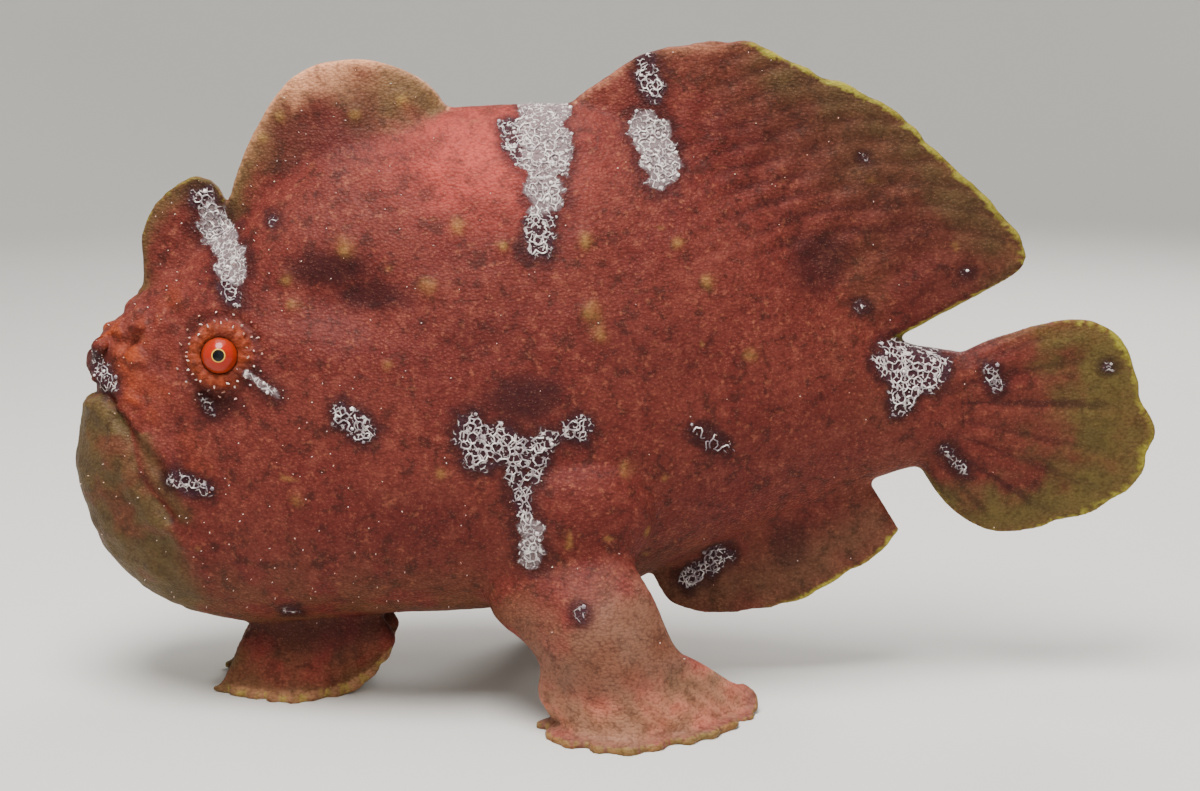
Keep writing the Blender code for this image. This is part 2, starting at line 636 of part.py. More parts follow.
def main():
    for obj in list(bpy.data.objects):
        bpy.data.objects.remove(obj)
    parts = bpy.data.collections.new("frogfish")
    cutters = bpy.data.collections.new("cutters")
    for group in (parts, cutters):
        bpy.context.scene.collection.children.link(group)

    all_stations = np.concatenate([head_stations(), trunk_stations(), stalk_stations()])
    root_cutter = from_rings("root_cutter", body_rings(all_stations, swell=GAP), cutters)
    root_cutter.hide_render = True
    root_cutter.display_type = "WIRE"

    head = build_head(parts, cutters)
    jaw = split_jaw(head, parts, cutters)
    trunk = from_rings("trunk", body_rings(trunk_stations()), parts)
    stalk = from_rings("tail_stalk", body_rings(stalk_stations()), parts)

    flap = median_fin("dorsal_spine_2", FLAP_ROOT, FLAP_RIM, 5, 5.5 * MM, 1.6 * MM, 0.3 * MM, 8, 0, parts)
    hump = median_fin("dorsal_spine_3", HUMP_ROOT, HUMP_RIM, 7, 15 * MM, 2.2 * MM, 0, 8, 0, parts)
    dorsal = median_fin("dorsal_fin", DORSAL_ROOT, DORSAL_RIM, DORSAL_RAYS,
                        6 * MM, 0.8 * MM, 0.6 * MM, 8, 0.02, parts)
    anal = median_fin("anal_fin", ANAL_ROOT, ANAL_RIM, ANAL_RAYS, 5.5 * MM, 0.8 * MM, 0.6 * MM, 7, 0.02, parts)
    tail = median_fin("caudal_fin", TAIL_ROOT, TAIL_RIM, TAIL_RAYS, 7 * MM, 0.8 * MM, 0.7 * MM, 8, 0.03, parts)
    limbs = build_limb("left", parts) + build_limb("right", parts)
    pelvic = build_pelvic(parts)
    for fin in (flap, hump, dorsal, anal, tail, limbs[0], limbs[2], pelvic):
        rooted(fin, root_cutter)
    rod, bait = build_lure(parts, root_cutter)
    build_feelers(bait, cutters)

    eye = add_sphere("eye_right", EYE_AT, EYE_RADIUS, parts)
    red = [head, trunk, stalk, flap, hump, dorsal, anal, tail]
    for obj in red:
        paint(obj, "red_skin", SKIN_RED, 0.6)
    paint(jaw, "olive_skin", SKIN_OLIVE, 0.6)
    for obj in limbs + (pelvic,):
        paint(obj, "pink_skin", SKIN_PINK, 0.6)
    paint(eye, "eye", EYE_RED, 0.15)
    for obj in (rod, bait):
        paint(obj, "bait_skin", BAIT_PALE, 0.5)
    mirrored(eye, "eye_left", parts)
    mirrored(pelvic, "pelvic_fin_right", parts)


main()
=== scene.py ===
"""Looks of the life-size giant frogfish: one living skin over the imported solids, its eyes and its lure.

Metres, +Z up. The nose points to -X, the fish's left side faces -Y, and the soles rest on z = 0.
The lines of the body and fins repeat those of the part's source, which this script can't read.
"""

import math
import random

import bpy
import numpy as np
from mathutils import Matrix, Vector, geometry, noise
from mathutils.bvhtree import BVHTree
from mathutils.kdtree import KDTree


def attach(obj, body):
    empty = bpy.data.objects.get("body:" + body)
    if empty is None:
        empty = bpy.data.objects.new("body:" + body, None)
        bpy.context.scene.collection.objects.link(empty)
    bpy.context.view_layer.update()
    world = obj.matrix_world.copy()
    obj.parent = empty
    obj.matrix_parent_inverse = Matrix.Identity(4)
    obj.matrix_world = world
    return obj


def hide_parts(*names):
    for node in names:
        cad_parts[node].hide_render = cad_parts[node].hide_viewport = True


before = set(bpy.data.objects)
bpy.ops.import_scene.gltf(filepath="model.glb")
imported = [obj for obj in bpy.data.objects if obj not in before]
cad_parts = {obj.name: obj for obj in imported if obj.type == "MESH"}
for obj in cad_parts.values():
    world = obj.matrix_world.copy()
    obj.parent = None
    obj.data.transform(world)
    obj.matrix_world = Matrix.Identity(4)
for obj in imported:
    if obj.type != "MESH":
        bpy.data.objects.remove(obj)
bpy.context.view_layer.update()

MM = 0.001


def mm(*rows):
    """Sizes, or rows of sizes, written in millimetres, as metres."""
    return np.array(rows, dtype=float) * MM


# Body, without its fins. Each row is a place along X and the size there.
BACK_LINE = mm(
    (-150.2, 67), (-149.3, 72), (-147.6, 79), (-145.8, 87), (-144.8, 93), (-142.2, 99.5),
    (-136.3, 106), (-130, 112.5), (-119, 120), (-107, 129), (-92, 145), (-76, 156), (-58, 160),
    (-40, 163), (-14, 163.5), (4, 159), (22, 150), (42, 135), (60, 115.5), (73, 101), (84, 97),
    (96, 95.5),
)
BELLY_LINE = mm(
    (-150.2, 64), (-149.2, 59.5), (-146, 48), (-140.4, 37), (-133.4, 30), (-123.6, 24),
    (-112, 20), (-100, 18.6), (-88, 19.6), (-75, 21.2), (-60, 22.2), (-40, 23), (-20, 25),
    (0, 29), (20, 37), (45, 48), (62, 55.5), (73, 59.5), (84, 62.5), (96, 64),
)
HALF_WIDTH = mm(
    (-150.2, 4), (-149, 9), (-147, 13), (-143, 17.5), (-138, 21), (-131, 24.5), (-122, 27.5),
    (-110, 30.5), (-95, 34), (-75, 38), (-55, 40), (-35, 40), (-15, 37.5), (5, 33), (25, 27),
    (45, 20.5), (60, 15.5), (73, 12), (84, 9.5), (96, 7),
)
WIDEST_LEVEL = mm(
    (-150.2, 67), (-140, 61), (-125, 58), (-100, 61), (-75, 63), (-50, 65), (-25, 69),
    (0, 75), (25, 81), (50, 83), (73, 81), (96, 80),
)
BACK_FULLNESS = ((-150.2, 2.0), (-120, 1.9), (-90, 1.75), (-60, 1.6), (0, 1.6), (50, 1.7), (96, 2.0))
BELLY_FULLNESS = ((-150.2, 2.0), (-110, 2.1), (-60, 2.15), (0, 2.0), (60, 1.8), (96, 2.0))
NOSE_X = -150.2 * MM
BODY_END_X = 94 * MM

# The groove of the mouth on the right side, from between the lips to the corner: x, y, z, radius.
MOUTH_GROOVE = mm(
    (-145.9, 0, 87.2, 4.3), (-144.9, 8, 87.2, 3.6), (-142.3, 14, 86.8, 2.6), (-137.5, 18, 86, 1.8),
    (-133, 20.8, 82, 1.4), (-130.8, 23.6, 78, 1.2), (-129.5, 25.3, 72.5, 1.2),
    (-127.7, 26.8, 66.5, 1.3), (-124.4, 27.8, 61.2, 1.6), (-121.3, 28.4, 57.5, 1.6),
    (-119.2, 28.6, 54.5, 0.9),
)
GAPE = MOUTH_GROOVE[:, [0, 2]]
SNOUT_EDGE = mm(
    (-133.8, 86.2), (-130.2, 81.2), (-125, 76.2), (-119.3, 70.7), (-118, 64.7), (-115.7, 58.6),
)
CORNER_FOLD = mm((-119.7, 52.6), (-117.4, 48), (-112.5, 47))
THROAT = mm((-119.2, 54.5), (-117, 44), (-111, 28), (-104, 10))

EYE_AT = mm((-105, 26.6, 99))[0]
EYE_RADIUS = 5.6 * MM
EYE_LOOKS = Vector((0.08, 0.97, 0.17)).normalized()
LID_RADIUS = 6.7 * MM
LID_THICKNESS = 2.3 * MM
# The skin is pressed onto the eyeball out to this far and wide, and this deep.
SOCKET_EDGE = 0.9 * MM
SOCKET_OPENING = 0.72
SOCKET_DEPTH = 0.7 * MM
# Distances from the eye's axis of the lid's folds and of the trough round it, and the reach of both.
LID_CREST = 7.2 * MM
LID_TROUGH = 10.6 * MM
EYE_ZONE = 16 * MM

# Median fins: root line, rim, rays, half thickness at root and rim, ray height, notch between rays.
FINS = {
    "flap": (
        mm((-129.5, 106), (-120, 110), (-106.6, 114)),
        mm((-130, 120), (-129.4, 129), (-127.6, 133.6), (-123.8, 138.9), (-118.8, 142.6),
           (-114.8, 143.8), (-111, 142.9), (-108.8, 140.6), (-107, 137.2)),
        5, 5.5 * MM, 1.6 * MM, 0.3 * MM, 0.02,
    ),
    "hump": (
        mm((-106, 112), (-78, 132), (-44, 146)),
        mm((-105.8, 137), (-104.2, 141.5), (-101, 149.7), (-96.8, 158.2), (-90, 168.1), (-82, 173.2),
           (-71.8, 175.2), (-60.6, 173.6), (-52.2, 169.5), (-46.5, 163.6), (-43, 158)),
        7, 15 * MM, 2.2 * MM, 0, 0,
    ),
    "dorsal": (
        mm((-12, 146), (20, 138), (45, 118), (65, 92)),
        mm((-14, 163), (-4.6, 169.5), (6.6, 176.6), (20.6, 179.6), (34.6, 180), (48.6, 174), (62.6, 168),
           (73.8, 162.4), (85, 152.5), (96, 142.6), (106.5, 132), (112.8, 122.6), (111.4, 118.8),
           (107, 115.4)),
        13, 6 * MM, 0.9 * MM, 0.6 * MM, 0.02,
    ),
    "anal": (
        mm((4, 42), (32, 54), (66, 68)),
        mm((12, 28), (15.5, 23.5), (23.4, 20.4), (37.4, 20.4), (51.4, 23.7), (62.6, 30), (73.8, 37),
           (79.4, 44.4)),
        8, 5.5 * MM, 0.9 * MM, 0.6 * MM, 0.02,
    ),
    "tail": (
        mm((80, 89), (82, 80), (80, 69)),
        mm((115, 102.6), (125, 104.4), (132.6, 103.4), (138.6, 99.4), (142.8, 92), (146, 83.5),
           (150.2, 72.5), (148.9, 65), (144.8, 57.4), (135, 50.4), (121.4, 45.6), (107, 43.6),
           (101.5, 45.3), (95.6, 49.4), (90.4, 54.6), (86, 60)),
        9, 7 * MM, 0.9 * MM, 0.7 * MM, 0.03,
    ),
}

# Paired fins, mirrored for the left side. Each guide line runs from the front edge to the rear.
ARM_GUIDES = [
    mm((-34, 20, 38), (-18, 24, 44), (-2, 20, 50)),
    mm((-34, 31, 29), (-16, 35.5, 37.5), (3, 33, 46)),
    mm((-25, 38.5, 24), (-8, 45, 30.5), (9, 39.5, 37)),
    mm((-20.5, 42, 19), (-3, 49, 21.2), (15, 41.5, 23.5)),
    mm((-20.8, 41, 10.5), (1, 50, 11), (22.5, 36.5, 17)),
]
TOES = mm(
    (-23, 35, 0.9), (-20, 46, 0.9), (-15, 54, 0.9), (-7, 58.5, 0.9), (0.6, 61.2, 0.9),
    (8, 58.8, 0.9), (14, 55.5, 0.9), (22.4, 51, 0.9), (30.6, 42.5, 0.9), (38.6, 29, 0.9),
    (38.4, 22.5, 7),
)
TOE_LENGTH = 7 * MM
KNUCKLE_RISE = 0.8 * MM
PALM = mm((6, 33, 0))[0]
LIMB_HALF = mm(10.5, 9.2, 7.4, 5.6, 4.2, 1.9, 1.1)
WRIST_PLACE = 3
SHOULDER_AT = mm((-14, 30, 56))[0]
SHOULDER_RADII = mm((24, 12.5, 19))[0]
# The right arm's step: how far forward, how much it folds, and its share from shoulder to toes.
STEP = 12 * MM
STEP_FOLD = 0.32
STEP_SHARE = (0, 0, 0.5, 1, 1, 1, 1)
PELVIC_GUIDES = [
    mm((-98, 6, 25), (-84, 8, 25), (-68, 6, 25)),
    mm((-105.5, 7, 14), (-87, 12, 12), (-62.5, 7, 15.5)),
    mm((-111, 9.5, 2.6), (-101.5, 13, 1.6), (-89, 16, 1.5), (-78, 12, 1.7), (-70.5, 9, 5.5),
       (-63.5, 7, 12.6)),
    mm((-116, 9, 0.9), (-104, 16, 0.9), (-90, 21, 0.9), (-77, 15, 0.9), (-68.6, 10.5, 4.5),
       (-62.2, 7.2, 12)),
]
PELVIC_HALF = mm(4.4, 2.9, 1.7, 1.1)
PECTORAL_RAYS, PELVIC_RAYS = 11, 10
RAY_RISE = 0.65 * MM
THIN_FLESH = 0.85 * MM

LURE_ROD = mm((-131, 5, 106), (-130.2, 6.2, 112), (-127.6, 7, 119), (-122, 7.4, 126), (-115.4, 7.2, 130))
LURE_ROD_RADIUS = 0.65 * MM
BAIT_LENGTH = 6.8 * MM
NOSTRILS = mm((-139.6, 10, 98), (-129.5, 15.5, 104.5))

# Camera of the photograph: its focal length in pixels of the 1200 wide image, place and pitch.
IMAGE_WIDTH = 1200
FOCAL_PIXELS = 2162
CAMERA_AT = (-0.0046, -0.589, 0.2025)
CAMERA_PITCH = math.radians(11.49)

# White crusts on the left side, as strokes seen from the side: x, z, x, z, radius, strength.
LEFT_CRUSTS = (
    (-113, 138, -109, 133, 3.4, 0.8), (-110.5, 132, -102.5, 121.5, 4.6, 1),
    (-104.5, 116, -101.5, 113.5, 2.5, 0.8),
    (-20, 164, -19, 150, 7, 1), (-19.5, 150, -19, 140, 5, 1), (-19, 140, -21, 128, 3.8, 0.9),
    (-29, 157, -26, 151, 3, 0.8), (8, 174, 9.5, 167, 3.4, 0.8), (8.5, 157, 12, 147, 5.2, 1),
    (-38.5, 82, -36.5, 74.5, 4.2, 0.9), (-37, 80, -29, 78, 4.6, 0.9), (-30, 77, -25, 74.5, 4, 0.8),
    (-25, 75.5, -18.5, 78.5, 3, 0.8), (-18.5, 78.8, -13.5, 80.3, 1.3, 0.9), (-10.6, 81, -10, 81.2, 3.4, 0.9),
    (-27, 72, -25.5, 64, 2.8, 0.8), (-18.5, 76, -21.5, 68.5, 1.8, 0.7), (-25, 64, -23.5, 57, 2.3, 0.9),
    (-23, 56, -22.5, 47, 3.2, 1), (-71.5, 85, -66, 81, 3.4, 0.8), (-109.2, 87, -107.5, 84, 1.8, 0.7),
    (-97.4, 94.8, -90, 89.4, 1.2, 1), (-141.5, 95, -137, 89.5, 3, 0.7),
    (-118, 66.3, -110, 63.6, 2.6, 0.75), (76, 94, 86, 91, 5.8, 0.95), (79, 88, 78, 83, 4, 0.8),
    (103, 91, 105, 86, 2.4, 0.6), (91, 69, 96.5, 62, 2, 0.6), (20, 30, 30, 38, 3.4, 0.7),
    (21, 79, 28, 74, 3, 0.35), (-9.8, 35.2, -9.6, 35.4, 2.2, 0.6), (-89.3, 27.3, -88.8, 27.6, 2.2, 0.6),
    (66.5, 109, 67.5, 108.4, 2, 0.5), (95.4, 117.7, 96.4, 117.2, 1.5, 0.6),
    (66.4, 149, 67.4, 148.6, 1.4, 0.6),
    (135.5, 91.3, 136, 91, 1.8, 0.7), (-92, 133.7, -91.6, 133.6, 1.6, 0.7),
)
# The right side doesn't show, so its crusts are others of the same kind.
RIGHT_CRUSTS = (
    (-109, 131, -100, 123, 5, 0.9), (-20, 164, -21, 149, 6.5, 1), (-21, 149, -17, 137, 4, 0.9),
    (14, 160, 17, 149, 4.6, 0.9), (-52, 92, -44, 86, 4.2, 0.9), (-44, 86, -36, 88, 2.8, 0.8),
    (-45, 84, -43, 72, 3, 0.9), (2, 84, 9, 79, 3.8, 0.8), (-80, 76, -74, 79, 3.2, 0.8),
    (-141.5, 95, -137, 89.5, 3, 0.7), (-129, 73, -120.5, 61.5, 2.5, 0.6), (78, 93, 87, 90, 5, 0.9),
    (110, 80, 114, 74, 2.6, 0.7), (38, 34, 46, 40, 3, 0.7), (58, 132, 62, 127, 2.4, 0.6),
)
# Round dark spots and shaded hollows: x, z, radius along x, radius along z, strength.
DARK_SPOTS = (
    (55.3, 121.4, 11, 11, 0.75), (-24.2, 89, 13, 7, 0.85), (48.7, 41, 7.5, 7.5, 0.6),
    (-76, 121.5, 13, 5.5, 0.85), (-65, 115, 12, 5, 0.8), (-104, 86, 8, 4.5, 0.6), (120, 58, 7, 5, 0.35),
    (30, 158, 10, 7, 0.3), (50, 138, 40, 22, 0.2), (-80, 156, 20, 9, 0.45), (-36, 106, 14, 6, 0.3),
    (-50, 60, 18, 12, 0.25), (10, 100, 20, 12, 0.25),
)
# Yellow warts: x, z, radius, height.
WARTS = (
    (-49.1, 118.2, 2.4, 0.8), (-70.3, 161, 2.2, 0.7), (-8.5, 129.4, 2.6, 0.7), (-7.2, 111.7, 2.4, 0.8),
    (-4.6, 105.2, 2.2, 0.7), (16, 128, 2, 0.5), (24, 118, 2, 0.5), (-30, 128, 1.8, 0.5), (2, 70, 2, 0.5),
    (-95.6, 154.7, 1.8, 0.4), (-90.7, 160.2, 1.8, 0.4), (-57.8, 164.8, 2.2, 0.5), (-71.7, 126.6, 2.6, 0.5),
    (-87.6, 119.1, 1.8, 0.5), (-42, 133.6, 2.2, 0.5), (-60, 98, 1.8, 0.5), (36, 98, 1.8, 0.5),
    (-86, 112, 2, 0.6), (-84, 62, 2, 0.5), (-46, 70, 1.8, 0.5),
)

# Lumps and, where they sink, hollows of the snout and cheek: x, z, radius, height.
LUMPS = (
    (-145, 99.5, 2.6, 1.3), (-139.5, 105, 3, 0.9), (-147.5, 92.5, 2, 0.9), (-140.5, 97.5, 2.4, 0.7),
    (-134.5, 110.5, 2.4, 0.8), (-133, 101, 2.6, -0.9), (-127.5, 105.5, 3, 0.7), (-124, 97, 3, -0.8),
    (-128.5, 90.5, 3.4, 0.8), (-120.5, 88.5, 3, 0.6), (-134.5, 92, 2.4, -0.6), (-124.5, 82.5, 3, 0.7),
    (-117, 80, 3, -0.6), (-120, 112, 4, 0.6), (-114, 77, 3.4, 0.5), (-112, 68, 4, 0.6), (-138, 70, 4, 0.7),
    (-143, 60, 3.6, 0.5), (-131, 58, 4, -0.5), (-136, 48, 4, 0.5), (-122, 47, 4, -0.5), (-126, 38, 4, 0.5),
)

# Rays of the dorsal fin, seen from the side: arcs that rise from its base, bend level and droop.
STREAK_FROM_X = 20 * MM
STREAK_SLOPE = 0.45
STREAK_BEND = 3.9
STREAK_SPACING = 6 * MM

# How far the fillets at the roots of limbs and fins reach, and how often they are smoothed.
SHOULDER_FILLET, SHOULDER_PASSES = 12 * MM, 260
FIN_FILLET, FIN_PASSES = 4.5 * MM, 40
# The skin is cast in cells of this size, and then thinned to this many triangles.
VOXEL = 0.72 * MM
SKIN_TRIANGLES = 190_000
# The lace's mesh is coarser than the real one, so that it shows from the photograph's camera.
LACE_MESH = 1.75 * MM
LACE_REACH = 4 * MM
LACE_TRIES = 9
# How far each kind of unevenness moves the skin.
FOLD_HEIGHT = 0.5 * MM
RIPPLE_HEIGHT = 0.22 * MM
GRAIN_HEIGHT = 0.10 * MM
STREAK_HEIGHT = 0.14 * MM
HEAD_FOLD_HEIGHT = 0.42 * MM
SNOUT_WART_HEIGHT = 1.2 * MM
LID_FOLD_HEIGHT = 0.36 * MM
LID_TROUGH_DEPTH = 0.7 * MM
# Small growths are set where rays from this far beside the fish meet its skin.
RAY_START = 0.2
PRICKLES_AND_GLINTS = 560
LASHES = 46
LID_FOLDS = 19
BAIT_THREADS = 10
SEED = 11


def through(rows):
    """A smooth function through (place, value) rows, which never overshoots them."""
    at, value = np.array(rows, dtype=float).T
    step = np.diff(at)
    slope = np.diff(value) / step
    lean = np.concatenate([slope[:1], np.zeros(len(at) - 2), slope[-1:]])
    for i in range(1, len(at) - 1):
        if slope[i - 1] * slope[i] > 0:
            lean[i] = 2 * slope[i - 1] * slope[i] / (slope[i - 1] + slope[i])

    def read(x):
        x = np.clip(x, at[0], at[-1])
        i = np.clip(np.searchsorted(at, x) - 1, 0, len(step) - 1)
        t = (x - at[i]) / step[i]
        ends = value[i] * (1 + 2 * t) * (1 - t) ** 2 + value[i + 1] * t * t * (3 - 2 * t)
        return ends + step[i] * (lean[i] * t * (1 - t) ** 2 + lean[i + 1] * t * t * (t - 1))

    return read


back_line = through(BACK_LINE)
belly_line = through(BELLY_LINE)
half_width = through(HALF_WIDTH)
widest_level = through(WIDEST_LEVEL)
back_fullness = through([(x * MM, n) for x, n in BACK_FULLNESS])
belly_fullness = through([(x * MM, n) for x, n in BELLY_FULLNESS])


def path(points, shares, even=False):
    """A smooth curve through the points, read at shares of its length, or of its count if even."""
    points = np.asarray(points, dtype=float).reshape(len(points), -1)
    steps = np.linalg.norm(np.diff(points, axis=0), axis=1)
    at = np.concatenate([[0], np.cumsum(steps)]) / steps.sum()
    if even:
        at = np.linspace(0, 1, len(points))
    lean = np.gradient(points, at, axis=0)
    shares = np.asarray(shares, dtype=float)
    i = np.clip(np.searchsorted(at, shares) - 1, 0, len(at) - 2)
    step = (at[i + 1] - at[i])[:, None]
    t = ((shares - at[i]) / step[:, 0])[:, None]
    ends = points[i] * (1 + 2 * t) * (1 - t) ** 2 + points[i + 1] * t * t * (3 - 2 * t)
    return ends + step * (lean[i] * t * (1 - t) ** 2 + lean[i + 1] * t * t * (t - 1))


def away_from(line, x, z):
    """Distance in the side view from points to a line of points."""
    nearest = np.full(np.shape(x), np.inf)
    for (x0, z0), (x1, z1) in zip(line[:-1], line[1:]):
        run, rise = x1 - x0, z1 - z0
        t = np.clip(((x - x0) * run + (z - z0) * rise) / (run**2 + rise**2), 0, 1)
        nearest = np.minimum(nearest, np.hypot(x - x0 - t * run, z - z0 - t * rise))
    return nearest


def bump(distance, width):
    """1 at no distance, falling smoothly to nothing about two widths away."""
    return np.exp(-((distance / width) ** 2))


def ease(low, high, value):
    """0 below low, 1 above high, smooth between."""
    t = np.clip((value - low) / (high - low), 0, 1)
    return t * t * (3 - 2 * t)


def mouth_line():
    """Points and radii along the groove of the mouth, right half."""
    return path(MOUTH_GROOVE, np.linspace(0, 1, 90))


def groove_depth(points):
    """How deep the groove of the mouth cuts under each point of the plain body."""
    line = mouth_line()
    folded = np.abs(points[..., None, :] * np.array([0, 1, 0]))
    folded = points[..., None, :] * np.array([1, 0, 1]) + folded
    apart = np.linalg.norm(folded - line[:, :3], axis=-1)
    depth = np.sqrt(np.clip(line[:, 3] ** 2 - apart**2, 0, None))
    return depth.max(axis=-1)


def relief(x, z):
    """How far the skin stands proud of the plain body: lips, folds, hollows and the eye's mound."""
    eye = np.hypot(x - EYE_AT[0], z - EYE_AT[2])
    brow_hollow = np.hypot((x + 74 * MM) / 1.6, z - 114 * MM)
    under_eye = np.hypot(x + 103 * MM, (z - 84 * MM) / 0.8)
    snout_lobe = np.hypot(x + 145.2 * MM, z - 93.8 * MM)
    upper_lip = away_from(GAPE[6:] + mm((2.6, 1.8)), x, z)
    lower_lip = away_from(GAPE[3:] + mm((-3.4, -2.4)), x, z)
    under_snout_edge = away_from(SNOUT_EDGE + mm((-2.4, -2.2)), x, z)
    return (
        2.2 * MM * bump(eye, 9 * MM)
        - 4.2 * MM * bump(brow_hollow, 9 * MM)
        - 1.2 * MM * bump(under_eye, 7 * MM)
        + 1.4 * MM * bump(snout_lobe, 2.6 * MM)
        + 1.1 * MM * bump(upper_lip, 1.6 * MM)
        + 1.4 * MM * bump(lower_lip, 2.6 * MM)
        + 1.6 * MM * bump(away_from(SNOUT_EDGE, x, z), 2.0 * MM)
        - 1.1 * MM * bump(under_snout_edge, 1.6 * MM)
        + 1.4 * MM * bump(away_from(CORNER_FOLD, x, z), 1.8 * MM)
    )


def body_rings(stations, sides):
    """Rings round the body at the stations, each from the belly up the left side and back down."""
    turn = np.linspace(0, 2 * math.pi, sides, endpoint=False)[None, :]
    x = np.asarray(stations)[:, None]
    rise, out = -np.cos(turn), np.sin(turn)
    fullness = np.where(rise > 0, back_fullness(x), belly_fullness(x))
    reach = np.where(rise > 0, back_line(x) - widest_level(x), widest_level(x) - belly_line(x))
    z = widest_level(x) + reach * np.sign(rise) * np.abs(rise) ** (2 / fullness)
    y = -half_width(x) * np.sign(out) * np.abs(out) ** (2 / fullness)
    rings = np.stack([np.broadcast_to(x, y.shape), y, z], axis=-1)
    along = np.gradient(rings, axis=0)
    across = np.roll(rings, -1, axis=1) - np.roll(rings, 1, axis=1)
    outward = np.cross(along, across)
    outward /= np.linalg.norm(outward, axis=-1, keepdims=True)
    height = relief(rings[..., 0], z) - groove_depth(rings)
    return rings + outward * height[..., None]


def body_half(x, z):
    """Half width of the plain body at a place in the side view, 0 outside its outline."""
    widest = widest_level(x)
    above = z > widest
    reach = np.where(above, back_line(x) - widest, widest - belly_line(x))
    fullness = np.where(above, back_fullness(x), belly_fullness(x))
    rise = np.clip(np.abs(z - widest) / np.maximum(reach, 1e-6), 0, 1)
    inside = (x > NOSE_X) & (x < BODY_END_X)
    return half_width(x) * (1 - rise**fullness) ** (1 / fullness) * inside


def band_faces(count, sides):
    """Faces that join a number of rings, each to the next."""
    i, j = np.meshgrid(np.arange(count - 1), np.arange(sides), indexing="ij")
    k = (j + 1) % sides
    quads = np.stack([i * sides + j, (i + 1) * sides + j, (i + 1) * sides + k, i * sides + k], axis=-1)
    return [tuple(quad) for quad in quads.reshape(-1, 4).tolist()]


def closed_loft(rings):
    """Points and faces of a closed surface through rings of points."""
    count, sides = rings.shape[:2]
    points = np.concatenate([rings.reshape(-1, 3), rings[[0, -1]].mean(axis=1)])
    faces = band_faces(count, sides)
    first, last, end = count * sides, count * sides + 1, (count - 1) * sides
    for j in range(sides):
        k = (j + 1) % sides
        faces += [(first, j, k), (last, end + k, end + j)]
    return points, faces


def facing(centre):
    """Unit directions across a sheet of points."""
    across = np.cross(np.gradient(centre, axis=0), np.gradient(centre, axis=1))
    return across / np.maximum(np.linalg.norm(across, axis=-1, keepdims=True), 1e-12)


def closed_slab(centre, half):
    """Points and faces of a closed slab about a sheet of centre points."""
    across = facing(centre)
    rows, columns = centre.shape[:2]
    upper = (centre + across * half[..., None]).reshape(-1, 3)
    lower = (centre - across * half[..., None]).reshape(-1, 3)
    under = rows * columns
    i, j = np.meshgrid(np.arange(rows - 1), np.arange(columns - 1), indexing="ij")
    a = i * columns + j
    top = np.stack([a, a + 1, a + columns + 1, a + columns], axis=-1).reshape(-1, 4)
    faces = [tuple(quad) for quad in top.tolist()]
    faces += [tuple(quad[::-1]) for quad in (top + under).tolist()]
    border = list(range(columns))
    border += [i * columns + columns - 1 for i in range(1, rows)]
    border += [(rows - 1) * columns + j for j in range(columns - 2, -1, -1)]
    border += [i * columns for i in range(rows - 2, 0, -1)]
    faces += [(b, a, under + a, under + b) for a, b in zip(border, border[1:] + border[:1])]
    return np.concatenate([upper, lower]), faces


def ring_tube(points, radii, sides):
    """Points and faces of a closed tube of round rings along the points."""
    points = np.asarray(points, dtype=float)
    heading = np.gradient(points, axis=0)
    heading /= np.maximum(np.linalg.norm(heading, axis=1, keepdims=True), 1e-12)
    aside = np.eye(3)[np.argmin(np.abs(heading).sum(axis=0))]
    side = np.cross(heading, aside)
    side /= np.linalg.norm(side, axis=1, keepdims=True)
    third = np.cross(heading, side)
    turn = np.linspace(0, 2 * math.pi, sides, endpoint=False)
    ring = side[:, None] * np.cos(turn)[None, :, None] + third[:, None] * np.sin(turn)[None, :, None]
    return closed_loft(points[:, None] + ring * np.asarray(radii)[:, None, None])


def join(pieces):
    """One set of points and faces out of several."""
    points, faces, base = [], [], 0
    for some, theirs in pieces:
        points.append(np.asarray(some))
        faces += [tuple(base + i for i in face) for face in theirs]
        base += len(some)
    return np.concatenate(points), faces


def add_object(name, points, faces):
    """A smooth object of the scene made of the points and faces."""
    mesh = bpy.data.meshes.new(name)
    mesh.from_pydata(np.asarray(points).tolist(), [], faces)
    mesh.validate()
    obj = bpy.data.objects.new(name, mesh)
    bpy.context.scene.collection.objects.link(obj)
    mesh.shade_smooth()
    return obj


class Sheet:
    """A fin as a sheet: centre points and half thickness, by reach from root to rim and share along it."""

    def __init__(self, name, centre, half, reach):
        self.name, self.centre, self.half = name, centre, half
        rows, columns = centre.shape[:2]
        self.reach = np.broadcast_to(reach, (rows, columns))
        self.share = np.broadcast_to(np.linspace(0, 1, columns)[None, :], (rows, columns))


def median_sheet(name):
    """A fin in the middle plane: rays fan from the root line to the rim, raised on both faces."""
    root, rim, rays, root_half, rim_half, ray_height, notch = FINS[name]
    columns = 14 * rays + 1
    share = np.linspace(0, 1, columns)
    ray = np.sin(math.pi * rays * share) ** 2
    worn = 0.35 + 0.3 * np.sin(5.3 * rays * share) + 0.3 * np.sin(2.1 * rays * share + 1)
    low = path(flat_points(root), share)
    high = path(flat_points(rim), share)
    reach = np.linspace(0, 1, 90)[:, None]
    tip_share = 1 - notch * (worn * (1 - ray))[None, :] * reach**6
    centre = low[None] + (high - low)[None] * (reach * tip_share)[..., None]
    edge = np.minimum(share, 1 - share)[None, :]
    flank = np.clip(edge * rays / 1.2, 0, 1) ** 0.5
    body = rim_half + (root_half - rim_half) * (1 - reach) ** 1.3
    half = rim_half * 0.7 + (body - rim_half * 0.7) * flank
    half = half + ray_height * ray[None, :] * (1 - reach**5)
    return Sheet(name, centre, np.maximum(half, THIN_FLESH), reach)


def flat_points(outline):
    """Points of the fish's middle plane from (x, z) rows."""
    return np.stack([outline[:, 0], np.zeros(len(outline)), outline[:, 1]], axis=1)


